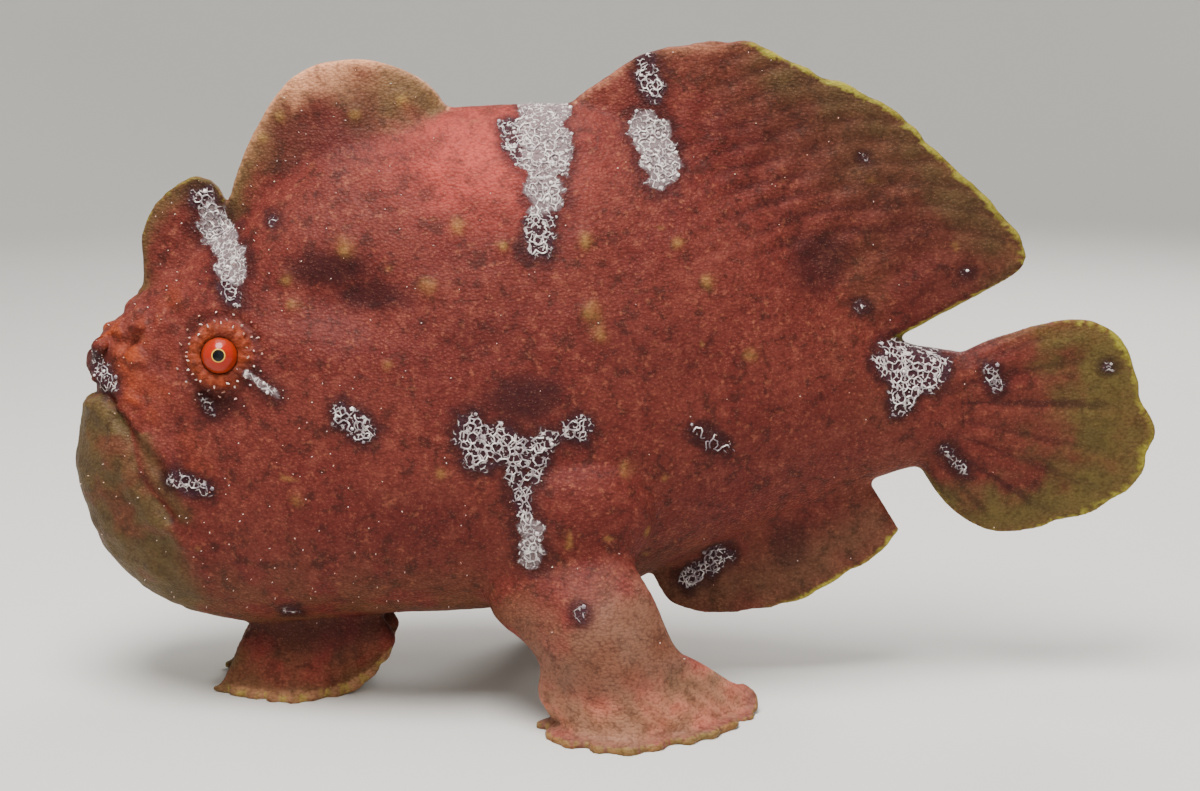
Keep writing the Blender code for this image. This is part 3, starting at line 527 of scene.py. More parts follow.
def guided_sheet(name, guides, halves, rays, slab_from, scallop, left):
    """A paired fin: oval near its root, a rayed slab beyond, with scalloped toes."""
    last = len(guides) - 1
    share = np.linspace(0, 1, 14 * rays + 1)
    ray = np.sin(math.pi * rays * share) ** 2
    lines = np.stack([path(guide, share) for guide in guides], axis=1)
    places = np.linspace(0, last, 110)
    centre = np.empty((len(places), len(share), 3))
    corner = (1 - np.sqrt(1 - (1 - np.clip(np.minimum(share, 1 - share) / 0.07, 0, 1)) ** 2)) * 0.45
    for j, line in enumerate(lines):
        uneven = 1 + 0.6 * math.sin(2.3 * rays * share[j]) + 0.3 * math.sin(9.1 * share[j] * rays)
        drawn_in = (scallop * uneven * (1 - ray[j]) + corner[j]) * np.clip((places - last + 0.5) / 0.5, 0, 1)
        centre[:, j] = path(line, (places - drawn_in) / last, even=True)
    slab = np.clip((places - slab_from) / (last - slab_from), 0, 1)[:, None]
    oval = np.sqrt(np.clip(1 - (2 * share - 1) ** 2, 0, 1))[None, :]
    half = path(halves, places / last, even=True) * (0.14 + 0.86 * oval ** (1 - 0.8 * slab))
    half = half + RAY_RISE * ray[None, :] * slab * (1 - slab) * 4
    if left:
        centre = centre * np.array([1, -1, 1])
    return Sheet(name, centre, np.maximum(half, THIN_FLESH), (places / last)[:, None])


def limb_sheet(side):
    """The arm and foot in one. The right one has taken a step forward."""
    toward_palm = PALM - TOES
    toward_palm[:, 2] = 0
    toward_palm /= np.linalg.norm(toward_palm, axis=1, keepdims=True)
    knuckles = TOES + toward_palm * TOE_LENGTH + np.array([0, 0, KNUCKLE_RISE])
    guides = [guide.copy() for guide in ARM_GUIDES + [knuckles, TOES]]
    if side == "right":
        for guide, share in zip(guides, STEP_SHARE):
            guide[:, 0] = PALM[0] + (guide[:, 0] - PALM[0]) * (1 - STEP_FOLD * share) - STEP * share
    return guided_sheet("limb", guides, LIMB_HALF, PECTORAL_RAYS, WRIST_PLACE, 0.25, side == "left")


def lid_ring():
    """The raised ring of skin round the right eye, as a closed tube."""
    turn = np.linspace(0, 2 * math.pi, 72, endpoint=False)
    aim = Vector((0, 0, 1)).rotation_difference(EYE_LOOKS).to_matrix()
    sides = 16
    points, faces = [], []
    for t in turn:
        radial = Vector((math.cos(t), math.sin(t), 0))
        middle = aim @ (radial * LID_RADIUS + Vector((0, 0, 1.2 * MM))) + Vector(EYE_AT)
        thick = LID_THICKNESS * (1 + 0.1 * math.cos(9 * t))
        for k in range(sides):
            lean = 2 * math.pi * k / sides
            aside = (aim @ radial) * math.cos(lean) * thick
            points.append(middle + aside + EYE_LOOKS * math.sin(lean) * thick)
    for i in range(len(turn)):
        n = (i + 1) % len(turn)
        for k in range(sides):
            m = (k + 1) % sides
            faces.append((i * sides + k, i * sides + m, n * sides + m, n * sides + k))
    return np.array([tuple(p) for p in points]), faces


def nostril_tube(at):
    """A short tube of skin standing on the snout."""
    outward = Vector((-0.45, 0.75, 0.48)).normalized()
    steps = np.linspace(-3, 2.4, 12) * MM
    points = [tuple(Vector(at) + outward * step) for step in steps]
    return ring_tube(points, np.linspace(1.9, 1.25, 12) * MM, 14)


def shoulder():
    """The swell of muscle that carries the flank down into the right arm."""
    lean = np.linspace(0.05, math.pi - 0.05, 40)
    turn = np.linspace(0, 2 * math.pi, 48, endpoint=False)[None, :]
    across, along = np.sin(lean)[:, None], np.cos(lean)[:, None]
    ball = np.stack([along + 0 * turn, across * np.cos(turn), across * np.sin(turn)], axis=-1)
    return closed_loft(SHOULDER_AT + ball * SHOULDER_RADII)


def mirrored(piece):
    """The same piece on the other side of the fish."""
    points, faces = piece
    return points * np.array([1, -1, 1]), [face[::-1] for face in faces]


def flesh_pieces(sheets):
    """Closed pieces whose union is the fish without its eyes and lure."""
    share = np.linspace(0, 1, 330)
    stations = NOSE_X + (BODY_END_X - NOSE_X) * share**1.6
    pieces = [closed_loft(body_rings(stations, 170))]
    for sheet in sheets:
        pieces.append(closed_slab(sheet.centre, sheet.half))
    lid = lid_ring()
    pieces += [lid, mirrored(lid), shoulder(), mirrored(shoulder())]
    for at in NOSTRILS:
        tube = nostril_tube(at)
        pieces += [tube, mirrored(tube)]
    return pieces


def applied(obj):
    """Applies the object's modifiers."""
    bpy.context.view_layer.update()
    seen = obj.evaluated_get(bpy.context.evaluated_depsgraph_get())
    mesh = bpy.data.meshes.new_from_object(seen)
    obj.modifiers.clear()
    obj.data = mesh
    mesh.shade_smooth()


def places_of(obj):
    """Where the mesh's points are."""
    flat = np.empty(len(obj.data.vertices) * 3, dtype=np.float32)
    obj.data.vertices.foreach_get("co", flat)
    return flat.reshape(-1, 3).astype(float)


def directions_of(obj):
    """Which way the surface faces at each of the mesh's points."""
    flat = np.empty(len(obj.data.vertices) * 3, dtype=np.float32)
    obj.data.vertex_normals.foreach_get("vector", flat)
    return flat.reshape(-1, 3).astype(float)


def move_to(obj, points):
    """Puts the mesh's points at new places."""
    obj.data.vertices.foreach_set("co", np.asarray(points, dtype=np.float32).ravel())
    obj.data.update()


def waves(points, size, depth=1):
    """Smooth noise of about -1 to 1 over points, with hills of the given size in metres."""
    scaled = points / size
    return np.array([noise.fractal(Vector(p), 1.0, 2.0, depth) for p in scaled.tolist()])


def root_points(sheets, limbs):
    """Where both faces of the limbs, or of the other fins, leave the body."""
    found = []
    for sheet in sheets:
        if (sheet.name == "limb") != limbs:
            continue
        for lean in (-1, 1):
            face = sheet.centre + lean * facing(sheet.centre) * sheet.half[..., None]
            out = np.abs(face[..., 1]) + 0.5 * MM > body_half(face[..., 0], face[..., 2])
            for j in range(0, face.shape[1], 2):
                first = int(np.argmax(out[:, j]))
                if first > 0:
                    found.append(face[first, j])
    return np.array(found)


def nearest(points, targets):
    """For each point, the index of the nearest target and its distance."""
    tree = KDTree(len(targets))
    for i, target in enumerate(targets.tolist()):
        tree.insert(target, i)
    tree.balance()
    hits = [tree.find(p) for p in points.tolist()]
    return np.array([hit[1] for hit in hits]), np.array([hit[2] for hit in hits])


def soften_roots(skin, sheets):
    """Fillets where fins and limbs grow out of the body, broad at the shoulders."""
    for limbs, width, passes in ((True, SHOULDER_FILLET, SHOULDER_PASSES), (False, FIN_FILLET, FIN_PASSES)):
        apart = nearest(places_of(skin), root_points(sheets, limbs))[1]
        weight = bump(apart, width)
        group = skin.vertex_groups.new(name="roots")
        for i in np.nonzero(weight > 0.03)[0].tolist():
            group.add([i], float(weight[i]), "REPLACE")
        fillet = skin.modifiers.new("fillet", "SMOOTH")
        fillet.vertex_group = "roots"
        fillet.factor = 0.5
        fillet.iterations = passes
        applied(skin)
        skin.vertex_groups.clear()


def eye_on(side):
    """The centre of the eye on one side, and the way it looks."""
    flip = np.array([1, side, 1])
    return EYE_AT * flip, np.array(tuple(EYE_LOOKS)) * flip


def cut_eye_sockets(points):
    """Presses the skin inside each socket onto the eyeball, so that the lid hugs it."""
    for side in (1, -1):
        centre, looks = eye_on(side)
        apart = points - centre
        far = np.linalg.norm(apart, axis=1)
        forward = (apart @ looks) / np.maximum(far, 1e-9)
        pressed = (far < EYE_RADIUS + SOCKET_EDGE) & (forward > SOCKET_OPENING)
        points[pressed] = centre + apart[pressed] / far[pressed, None] * (EYE_RADIUS - SOCKET_DEPTH)
    return points


def eye_frame(points, side):
    """Distance from the eye's axis, turn round it, and distance from the eye's centre."""
    centre, looks = eye_on(side)
    apart = points - centre
    forward = apart @ looks
    flat = apart - forward[:, None] * looks
    level = np.cross(looks, (0, 0, 1))
    level /= np.linalg.norm(level)
    upright = np.cross(level, looks)
    off_axis, far = np.linalg.norm(flat, axis=1), np.linalg.norm(apart, axis=1)
    return off_axis, np.arctan2(flat @ upright, flat @ level), far


def raggedness(points):
    """How far the outline of a crust strays at each point, the same through the width of the fish."""
    return 1.3 * MM * waves(points * np.array([1, 0, 1]), 3.2 * MM, 2)


def fray(radius):
    """How much of the raggedness a stroke takes: the broader it is, the more it strays."""
    return min(1.7, 0.38 * radius)


def strokes(points, rows, ragged):
    """How strongly painted strokes cover each point in the side view, and how near the nearest is."""
    cover = np.zeros(len(points))
    near = np.full(len(points), np.inf)
    for x0, z0, x1, z1, radius, strength in rows:
        apart = away_from(mm((x0, z0), (x1, z1)), points[:, 0], points[:, 2])
        apart = apart - radius * MM + ragged * fray(radius)
        cover = np.maximum(cover, strength * (1 - ease(-0.9 * MM, 0.7 * MM, apart)))
        near = np.minimum(near, apart / max(strength, 0.4))
    return cover, near


def dorsal_streaks(points):
    """-1 to 1 over the rays of the dorsal fin, and how plainly they show at each point."""
    x, z = points[:, 0] - STREAK_FROM_X, points[:, 2]
    level = z - STREAK_SLOPE * x + STREAK_BEND * x * x
    wobble = 0.22 * waves(points, 14 * MM)
    shown = ease(12 * MM, 34 * MM, points[:, 0]) * ease(117 * MM, 127 * MM, z)
    return np.cos(2 * math.pi * (level / STREAK_SPACING + wobble)), shown


def snout_warts(points):
    """0 to 1 over the small fleshy lumps that crowd the snout and the upper lip."""
    x, z = points[:, 0], points[:, 2]
    here = (1 - ease(-131 * MM, -117 * MM, x)) * ease(78 * MM, 86 * MM, z)
    here = here * (1 - ease(110 * MM, 116 * MM, z))
    return here * ease(0.02, 0.5, waves(points + 4, 5 * MM))


def surface_detail(points, outward):
    """Folds, warts, granules and the small radial folds of the lids, moved out along the skin."""
    x, z = points[:, 0], points[:, 2]
    height = FOLD_HEIGHT * waves(points, 16 * MM) + RIPPLE_HEIGHT * waves(points, 6.5 * MM)
    grain = waves(points * np.array([0.7, 1, 1.25]), 1.9 * MM)
    height += GRAIN_HEIGHT * grain
    streak, shown = dorsal_streaks(points)
    height += STREAK_HEIGHT * streak * shown
    height += HEAD_FOLD_HEIGHT * waves(points + 0.5, 4 * MM) * (1 - ease(-125 * MM, -98 * MM, x))
    for wx, wz, radius, rise in WARTS:
        height += rise * MM * bump(np.hypot(x - wx * MM, z - wz * MM), radius * MM)
    height += SNOUT_WART_HEIGHT * snout_warts(points)
    uneven = 1 + 1.5 * waves(points + 2, 8 * MM)
    for wx, wz, radius, rise in LUMPS:
        height += rise * MM * uneven * bump(np.hypot(x - wx * MM, z - wz * MM), radius * MM)
    for side in (1, -1):
        off_axis, turn, far = eye_frame(points, side)
        ring = bump(off_axis - LID_CREST, 1.8 * MM) * (far < EYE_ZONE)
        height += LID_FOLD_HEIGHT * ring * np.cos(LID_FOLDS * turn + 2 * np.sin(2 * turn))
        height -= LID_TROUGH_DEPTH * bump(off_axis - LID_TROUGH, 1.4 * MM) * (far < EYE_ZONE)
    flat_sole = ease(0.2 * MM, 1.6 * MM, z)
    return points + outward * (height * flat_sole)[:, None]


def make_skin(sheets):
    """One closed skin over body, fins, limbs and lids."""
    points, faces = join(flesh_pieces(sheets))
    points[:, 2] = np.maximum(points[:, 2], 0.0)
    skin = add_object("skin", points, faces)
    cast = skin.modifiers.new("cast", "REMESH")
    cast.mode = "VOXEL"
    cast.voxel_size = VOXEL
    applied(skin)
    polish = skin.modifiers.new("polish", "SMOOTH")
    polish.factor = 0.5
    polish.iterations = 2
    applied(skin)
    soften_roots(skin, sheets)
    points = surface_detail(places_of(skin), directions_of(skin))
    points = cut_eye_sockets(points)
    points[:, 2] = np.maximum(points[:, 2], 0.0)
    move_to(skin, points)
    triangles = sum(len(p.vertices) - 2 for p in skin.data.polygons)
    thin = skin.modifiers.new("thin", "DECIMATE")
    thin.ratio = min(1.0, SKIN_TRIANGLES / triangles)
    applied(skin)
    return skin


def fin_places(points, sheets):
    """For each point: the fin it lies on or "", its reach from root to rim, and its share along the rim."""
    samples, reach, share, half, owner = [], [], [], [], []
    pick = (slice(None, None, 2), slice(None, None, 3))
    for number, sheet in enumerate(sheets):
        samples.append(sheet.centre[pick].reshape(-1, 3))
        reach.append(sheet.reach[pick].ravel())
        share.append(sheet.share[pick].ravel())
        half.append(sheet.half[pick].ravel())
        owner.append(np.full(len(reach[-1]), number))
    where, apart = nearest(points, np.concatenate(samples))
    reach, share, half, owner = (np.concatenate(rows)[where] for rows in (reach, share, half, owner))
    clear = np.abs(points[:, 1]) - body_half(points[:, 0], points[:, 2])
    on_fin = (1 - ease(half + 1.0 * MM, half + 3.0 * MM, apart)) * ease(-1 * MM, 2 * MM, clear)
    names = np.array([sheet.name for sheet in sheets])[owner]
    return names, reach, share, on_fin


def crust_cover(points):
    """How thickly crusts cover each point, how near the nearest is, and the cover of the whitest ones."""
    ragged = raggedness(points)
    cover, near, whitest = (np.zeros(len(points)) for _ in range(3))
    for rows, here in ((LEFT_CRUSTS, points[:, 1] < 0), (RIGHT_CRUSTS, points[:, 1] >= 0)):
        cover[here], near[here] = strokes(points[here], rows, ragged[here])
        white = [row for row in rows if row[-1] == 1]
        whitest[here] = strokes(points[here], white, ragged[here])[0]
    return cover, near, whitest


class Surface:
    """The skin's points, and what the fields of colour read at each of them."""

    def __init__(self, points, sheets):
        self.points = points
        self.x, self.y, self.z = points.T
        self.names, self.reach, self.share, self.on_fin = fin_places(points, sheets)
        self.crust, self.near_crust, self.veil = crust_cover(points)
        self.patchy = waves(points, 9 * MM, 3)
        self.cloudy = waves(points + 0.7, 30 * MM, 2)
        self.fine = waves(points + 0.4, 3 * MM)
        self.jaw = jaw_share(self.x, self.z)
        self.arm = self.edge("limb", 0.1, 0.45)
        self.foot = self.fin("limb") * bump(self.reach - 0.76, 0.16)
        self.hump_top = bump(self.share - 0.48 + 0.1 * self.patchy, 0.24)
        self.off_eye = np.full(len(points), 1.0)
        for side in (1, -1):
            off_axis, _, far = eye_frame(points, side)
            near = far < EYE_ZONE
            self.off_eye[near] = off_axis[near]

    def fin(self, name):
        """How much each point lies on one kind of fin."""
        return self.on_fin * (self.names == name)

    def edge(self, name, low, high, stray=0):
        """The same, but from nothing at a low reach to all at a high one, unevenly if it strays."""
        return self.fin(name) * ease(low, high, self.reach + stray * self.patchy)

    def spot(self, x, z, radius):
        """A round frayed spot on both sides of the fish, its place and radius in millimetres."""
        apart = np.hypot(self.x - x * MM, self.z - z * MM)
        return bump(apart * (1 + 0.5 * self.patchy), radius * MM)


def olive_parts(at):
    """Khaki on the jaw, on the outer parts of the fins, low on the flanks and towards the tail."""
    x, z, reach, share, patchy, cloudy = at.x, at.z, at.reach, at.share, at.patchy, at.cloudy
    fin, edge = at.fin, at.edge
    jaw_middle = bump(np.hypot((x + 132 * MM) / 0.8, z - 66 * MM), 15 * MM)
    lip = bump(away_from(GAPE[3:] + mm((-2.6, -1.6)), x, z), 1.5 * MM) * (z < 80 * MM)
    strip = bump(away_from(GAPE[4:] + mm((3.4, 1.6)), x, z), 3.2 * MM) * (z < 78 * MM) * (1 - at.jaw)
    low = 1 - ease(24 * MM, 62 * MM, z)
    behind = ease(20 * MM, 90 * MM, x)
    wrist = bump(reach - 0.66, 0.17) * ease(0.3, 0.8, share)
    upper_arm = ease(0.1, 0.4, reach) * (1 - ease(0.5, 0.75, reach))
    back_of_fin = ease(0.1, 0.9, reach) * ease(0.2, 0.55, share) * (1 - 0.5 * ease(0.6, 0.8, share))
    return np.maximum.reduce([
        at.jaw * (0.45 + 0.55 * ease(-0.5, 0.4, patchy + 0.35 - 0.7 * jaw_middle)),
        0.5 * lip,
        0.65 * strip,
        edge("tail", 0.36, 0.92, 0.26) * (1 - 0.6 * bump(share, 0.12)),
        0.8 * edge("hump", 0.3, 0.9, 0.3) * (1 - 0.6 * at.hump_top),
        0.75 * fin("flap") * (ease(0.6, 1.0, reach + 0.1 * patchy) + bump(share, 0.2)).clip(0, 1),
        0.85 * edge("dorsal", 0.6, 0.96, 0.08) * ease(0.22, 0.42, share),
        fin("dorsal") * back_of_fin * (0.55 + 0.25 * cloudy + 0.12 * patchy),
        0.62 * edge("pelvic", 0.22, 0.62, 0.16),
        0.5 * edge("anal", 0.2, 0.8),
        0.6 * fin("limb") * wrist * ease(-0.4, 0.3, patchy),
        0.5 * fin("limb") * upper_arm * ease(-0.2, 0.4, cloudy + 0.3 * patchy),
        0.46 * low * ease(-0.6, 0.3, patchy + 0.1),
        0.3 * behind * ease(-0.5, 0.4, cloudy),
        0.3 * fin("dorsal") * ease(-0.3, 0.4, cloudy),
    ])


def yellow_rims(at):
    """The thin yellow-green edges of the fins, and a breath of it down the middle of the chin."""
    share, fin, edge = at.share, at.fin, at.edge
    ray_tips = 0.5 + 0.5 * np.cos(2 * math.pi * PELVIC_RAYS * share)
    return np.maximum.reduce([
        edge("dorsal", 0.968, 0.99) * ease(0.31, 0.36, share),
        fin("dorsal") * ease(0.975, 0.995, share),
        edge("tail", 0.972, 0.992) * (0.6 + 0.4 * ease(-0.2, 0.2, at.patchy)),
        0.2 * edge("tail", 0.45, 0.85, 0.2),
        edge("anal", 0.955, 0.985) * ease(0.35, 0.6, share),
        0.5 * edge("pelvic", 0.88, 0.985) * ray_tips,
        0.35 * edge("limb", 0.975, 0.995),
        0.55 * edge("flap", 0.95, 1.0),
        0.22 * at.jaw * bump(at.y, 9 * MM),
    ])


def pink_parts(at):
    """Rose pink over the shoulders and on the feet."""
    shoulders = bump(np.hypot((at.x + 35 * MM) / 1.6, (at.z - 150 * MM)), 16 * MM)
    shoulders *= 0.85 + 0.5 * waves(at.points + 0.9, 5 * MM)
    return np.maximum.reduce([shoulders, 0.35 * at.arm, 0.95 * at.foot, 0.3 * at.fin("pelvic")])


def clay_parts(at):
    """The duller clay of the arms and the anal fin."""
    arms = at.arm * np.clip(0.55 + 0.35 * at.patchy, 0, 1)
    return np.maximum(arms, 0.25 * at.edge("anal", 0.2, 0.8))


def peach_and_highlight_parts(at):
    """Pale peach on the hump's edge, the dorsal fin's front edge, the feet and the pelvic fins: partly their
    colour, partly painted highlight on the hump's top and painted bounce light on the pelvic fins.
    """
    patchy, edge = at.patchy, at.edge
    return np.maximum.reduce([
        # Painted highlight: the hump's edge is lightest along its top, where the light falls.
        edge("hump", 0.68, 1.0, 0.16) * (0.15 + 0.55 * at.hump_top + 0.15 * at.fine),
        0.9 * edge("hump", 0.9, 1.0),
        0.5 * edge("dorsal", 0.86, 1.0) * (1 - ease(0.25, 0.4, at.share)),
        (0.62 + 0.4 * patchy) * at.foot,
        # Painted bounce light on the outer part of the pelvic fins.
        (0.6 + 0.3 * patchy) * edge("pelvic", 0.5, 0.85),
    ])


def tail_lines(at):
    """The dark lines between the rays of the tail fin, which split in two towards its rim."""
    turns = 2 * math.pi * FINS["tail"][2] * at.share
    whole = ease(0.08, 0.25, at.reach) * (1 - ease(0.75, 0.97, at.reach))
    whole = whole * np.clip(np.cos(turns) ** 3, 0, 1)
    split = ease(0.5, 0.75, at.reach) * (1 - ease(0.88, 0.97, at.reach))
    split = split * ease(0.1, 0.9, np.cos(2 * turns + 0.9 * at.fine)) * (0.6 + 0.4 * at.patchy)
    return at.fin("tail") * np.maximum(0.7 * whole, 0.75 * split)


def dark_and_shade_parts(at):
    """Maroon round the crusts, in spots and between the fins' rays, and painted shade in hollows, folds, the
    line of the mouth, the lids' trough, the pelvic roots and below the hump's top.
    """
    reach, share, patchy, fin, edge = at.reach, at.share, at.patchy, at.fin, at.edge
    streak, shown = dorsal_streaks(at.points)
    tail_blotch = ease(-0.05, 0.45, patchy) * ease(0.5, 0.7, reach) * (1 - ease(0.9, 0.97, reach))
    # Painted shade across the middle of the hump, below its lit top, broken by mottling.
    hump_shade = bump(reach - 0.5, 0.28) * ease(-0.4, 0.3, patchy) * (1 - ease(0.6, 0.8, share))
    dark = np.maximum.reduce([
        (0.85 - 0.5 * at.veil) * bump(np.maximum(at.near_crust, 0), 2.8 * MM) * (at.near_crust < 12 * MM),
        0.55 * shown * ease(0.0, 0.95, -streak) * (np.abs(at.y) < 12 * MM),
        tail_lines(at),
        0.4 * fin("tail") * tail_blotch,
        0.4 * edge("dorsal", 0.1, 0.6) * ease(0.1, 0.5, share),
        0.22 * edge("tail", 0.45, 0.75),
        0.35 * fin("limb") * bump(reach - 0.6, 0.14) * ease(-0.1, 0.5, patchy),
        # Darker where the pelvic fins leave the belly: their own dark colour, with painted shade over it.
        0.75 * fin("pelvic") * (1 - ease(0.2, 0.5, reach)),
        # Painted shade on the hump below its lit top.
        0.55 * fin("hump") * hump_shade,
        # Painted shade in the groove of the mouth.
        0.85 * bump(groove_side(at.points), 1.1 * MM),
        0.4 * at.jaw * ease(0.05, 0.5, patchy),
        # Painted shade in the trough round each lid.
        0.45 * bump(at.off_eye - LID_TROUGH, 1.2 * MM),
    ])
    # Dark spots, and painted shade in the shaded hollows among them.
    for x, z, along, up, strength in DARK_SPOTS:
        apart = np.hypot((at.x - x * MM) / along, (at.z - z * MM) / up) / MM
        dark = np.maximum(dark, strength * (1 - ease(0.4, 1.3, apart * (1 + 0.25 * patchy))))
    # Painted shade where the lumps sink into hollows.
    for x, z, radius, rise in LUMPS:
        dark = np.maximum(dark, -0.5 * min(rise, 0) * at.spot(x, z, radius))
    return dark


def wart_parts(at):
    """Ochre on the warts, and here and there between the crusts."""
    wart = 0.6 * ease(0.6, 0.8, waves(at.points + 0.3, 5 * MM)) * (at.near_crust > 4 * MM)
    for x, z, radius, _ in WARTS:
        wart = np.maximum(wart, (0.6 + 0.5 * at.fine) * at.spot(x, z, 0.9 * radius))
    return wart


def glow_parts(at):
    """Rust orange on the snout, its lumps and the lids."""
    snout = bump(np.hypot((at.x + 131 * MM) / 1.2, at.z - 92 * MM), 12 * MM)
    glow = snout * (1 - at.jaw) * (0.34 + 0.3 * at.patchy)
    glow = np.maximum(glow, 0.6 * snout_warts(at.points) * (1 - at.jaw))
    for x, z, radius, rise in LUMPS:
        glow = np.maximum(glow, 0.5 * max(rise, 0) * at.spot(x, z, radius) * (1 - at.jaw))
    return np.maximum(glow, (0.48 + 0.3 * at.fine) * (1 - ease(7.5 * MM, 10.5 * MM, at.off_eye)))


def paint_skin(skin, sheets):
    """Stores on the skin where each colour lies, for the material to mix."""
    at = Surface(places_of(skin), sheets)
    store(
        skin, olive=olive_parts(at), rim=yellow_rims(at), pink=pink_parts(at), clay=clay_parts(at),
        peach=peach_and_highlight_parts(at), dark=dark_and_shade_parts(at), crust=at.crust, veil=at.veil,
        wart=wart_parts(at), glow=glow_parts(at),
    )


def jaw_share(x, z):
    """1 on the lower jaw, 0 behind the gape and the throat, where it fades."""
    line = np.concatenate([GAPE[2:], THROAT[1:]])
    edge = np.interp(-z, -line[:, 1], line[:, 0])
    fade = (1.2 + 7 * (1 - ease(38 * MM, 55 * MM, z))) * MM
    return ease(-1, 1, (edge - x) / fade) * (z < 87 * MM)


def groove_side(points):
    """Distance from each point to the line of the mouth, either side."""
    line = mouth_line()[:, :3]
    both = np.concatenate([line, line * np.array([1, -1, 1])])
    near_mouth = points[:, 0] < -105 * MM
    apart = np.full(len(points), 1.0)
    apart[near_mouth] = nearest(points[near_mouth], both)[1]
    return apart


def store(obj, **fields):
    """Keeps each field as a float attribute of the mesh's points."""
    for name, values in fields.items():
        layer = obj.data.attributes.new(name, "FLOAT", "POINT")
        layer.data.foreach_set("value", np.asarray(values, dtype=np.float32))


def surface_tree(obj):
    """The surface in a form that rays and nearest places are found on quickly."""
    bpy.context.view_layer.update()
    return BVHTree.FromObject(obj, bpy.context.evaluated_depsgraph_get())


def on_side(tree, x, z, side):
    """The skin's outermost point at a place in the side view, and its direction."""
    start = Vector((x, side * RAY_START, z))
    hit = tree.ray_cast(start, Vector((0, -side, 0)))
    return hit[0], hit[1]


def crust_lace(tree, rng):
    """The crusts' raised lace of threads, knobs and hairs, and how thick the crust is at each point."""
    pieces, thick = [], []
    for side, rows in ((-1, LEFT_CRUSTS), (1, RIGHT_CRUSTS)):
        laid = []
        for x, z, strength in crust_spots(rows, rng):
            at, outward = on_side(tree, x, z, side)
            if at is not None and abs(outward.y) > 0.2:
                laid.append((at, outward, strength))
        flat = [Vector((at.x / MM, at.z / MM)) for at, _, _ in laid]
        walls = {}
        for face in geometry.delaunay_2d_cdt(flat, [], [], 0, 0.01)[2]:
            p, q, m = (laid[i][0] for i in face)
            if max((p - q).length, (q - m).length, (m - p).length) < LACE_REACH:
                for a, b in zip(face, face[1:] + face[:1]):
                    walls.setdefault(frozenset((a, b)), []).append((p + q + m) / 3)
        for pair, ends in walls.items():
            strength = min(laid[i][2] for i in pair)
            if len(ends) == 2 and rng.random() < 0.35 + 0.62 * strength:
                pieces.append(lace_thread(ends[0], ends[1], rng, tree))
                thick.append(strength)
        for p, n, s in laid:
            if rng.random() < 0.12 * s + 0.45 * (s == 1):
                pieces.append(prickle(p, n, rng, rng.uniform(0.35, 0.7) * MM, rng.uniform(0.35, 0.8) * MM))
                thick.append(s)
            if rng.random() < 0.3 * s:
                pieces.append(prickle(p, n, rng, rng.uniform(0.8, 1.8) * MM, rng.uniform(0.1, 0.17) * MM))
                thick.append(s)
    return pieces, np.repeat(thick, [len(points) for points, _ in pieces])


def crust_spots(rows, rng):
    """Scattered places in the crusts, a lace's mesh apart."""
    spots = []
    for x0, z0, x1, z1, radius, strength in rows:
        start, end = Vector((x0 * MM, z0 * MM)), Vector((x1 * MM, z1 * MM))
        area = (math.pi * radius**2 + 2 * radius * (end - start).length / MM) * MM * MM
        for _ in range(int(area / LACE_MESH**2 * LACE_TRIES)):
            turn, far = rng.uniform(0, 2 * math.pi), 1.25 * math.sqrt(rng.random())
            at = start.lerp(end, rng.random()) + Vector((math.cos(turn), math.sin(turn))) * far * radius * MM
            here = np.array([[at.x, 0, at.y]])
            apart = away_from(mm((x0, z0), (x1, z1)), here[:, 0], here[:, 2]) - radius * MM
            if apart[0] + raggedness(here)[0] * fray(radius) > 0:
                continue
            if all((at.x - x) ** 2 + (at.y - z) ** 2 > LACE_MESH**2 for x, z, _ in spots):
                spots.append((at.x, at.y, strength))
    return spots


def lace_thread(p, q, rng, tree):
    """A thread bowed a little between two points of the skin."""
    bow = Vector((rng.uniform(-0.3, 0.3), 0, rng.uniform(-0.3, 0.3))) * MM
    thick = rng.uniform(0.12, 0.25) * MM
    points = []
    for step in (0, 0.35, 0.7, 1):
        hit = tree.find_nearest(p.lerp(q, step) + bow * math.sin(math.pi * step))
        points.append(tuple(hit[0] + hit[1] * 0.2 * MM))
    return ring_tube(points, np.full(4, thick), 4)


def prickle(at, outward, rng, length, radius):
    """A short pointed flap of skin."""
    lean = Vector((rng.gauss(0, 0.35), rng.gauss(0, 0.15), rng.gauss(0, 0.3)))
    tip_way = (outward + lean).normalized()
    points = [at - outward * 0.2 * MM, at + outward * length * 0.35]
    points += [at + tip_way * length * 0.75, at + tip_way * length]
    return ring_tube([tuple(p) for p in points], np.array([1, 0.85, 0.5, 0.12]) * radius, 5)


def make_prickles_and_glints(tree, rng):
    """The small pale papillae over the skin, thickest on the head; their pale tint also paints the skin's
    small glints.
    """
    pieces = []
    while len(pieces) < PRICKLES_AND_GLINTS:
        x = rng.uniform(-148, 108) * MM
        z = rng.uniform(20, 178) * MM
        side = rng.choice((-1, 1))
        head_share = 1 - 0.85 * ease(-110 * MM, -30 * MM, np.array(x))
        if rng.random() > head_share:
            continue
        at, outward = on_side(tree, x, z, side)
        if at is None:
            continue
        pieces.append(prickle(at, outward, rng, rng.uniform(0.3, 0.6) * MM, rng.uniform(0.11, 0.18) * MM))
    return pieces


def make_lashes(tree, rng):
    """The ring of white papillae round each eye."""
    pieces = []
    for side in (-1, 1):
        centre, looks = (Vector(row) for row in eye_on(side))
        level = looks.cross(Vector((0, 0, 1))).normalized()
        upright = level.cross(looks)
        for i in range(LASHES):
            turn = 2 * math.pi * i / LASHES + rng.uniform(-0.05, 0.05)
            off = (8.0, 9.2, 11.6)[i % 3] * MM * rng.uniform(0.94, 1.06)
            start = centre + (level * math.cos(turn) + upright * math.sin(turn)) * off + looks * 25 * MM
            hit = tree.ray_cast(start, -looks)
            if hit[0] is not None:
                length, radius = rng.uniform(0.7, 1.3) * MM, rng.uniform(0.22, 0.34) * MM
                pieces.append(prickle(hit[0], hit[1], rng, length, radius))
    return pieces


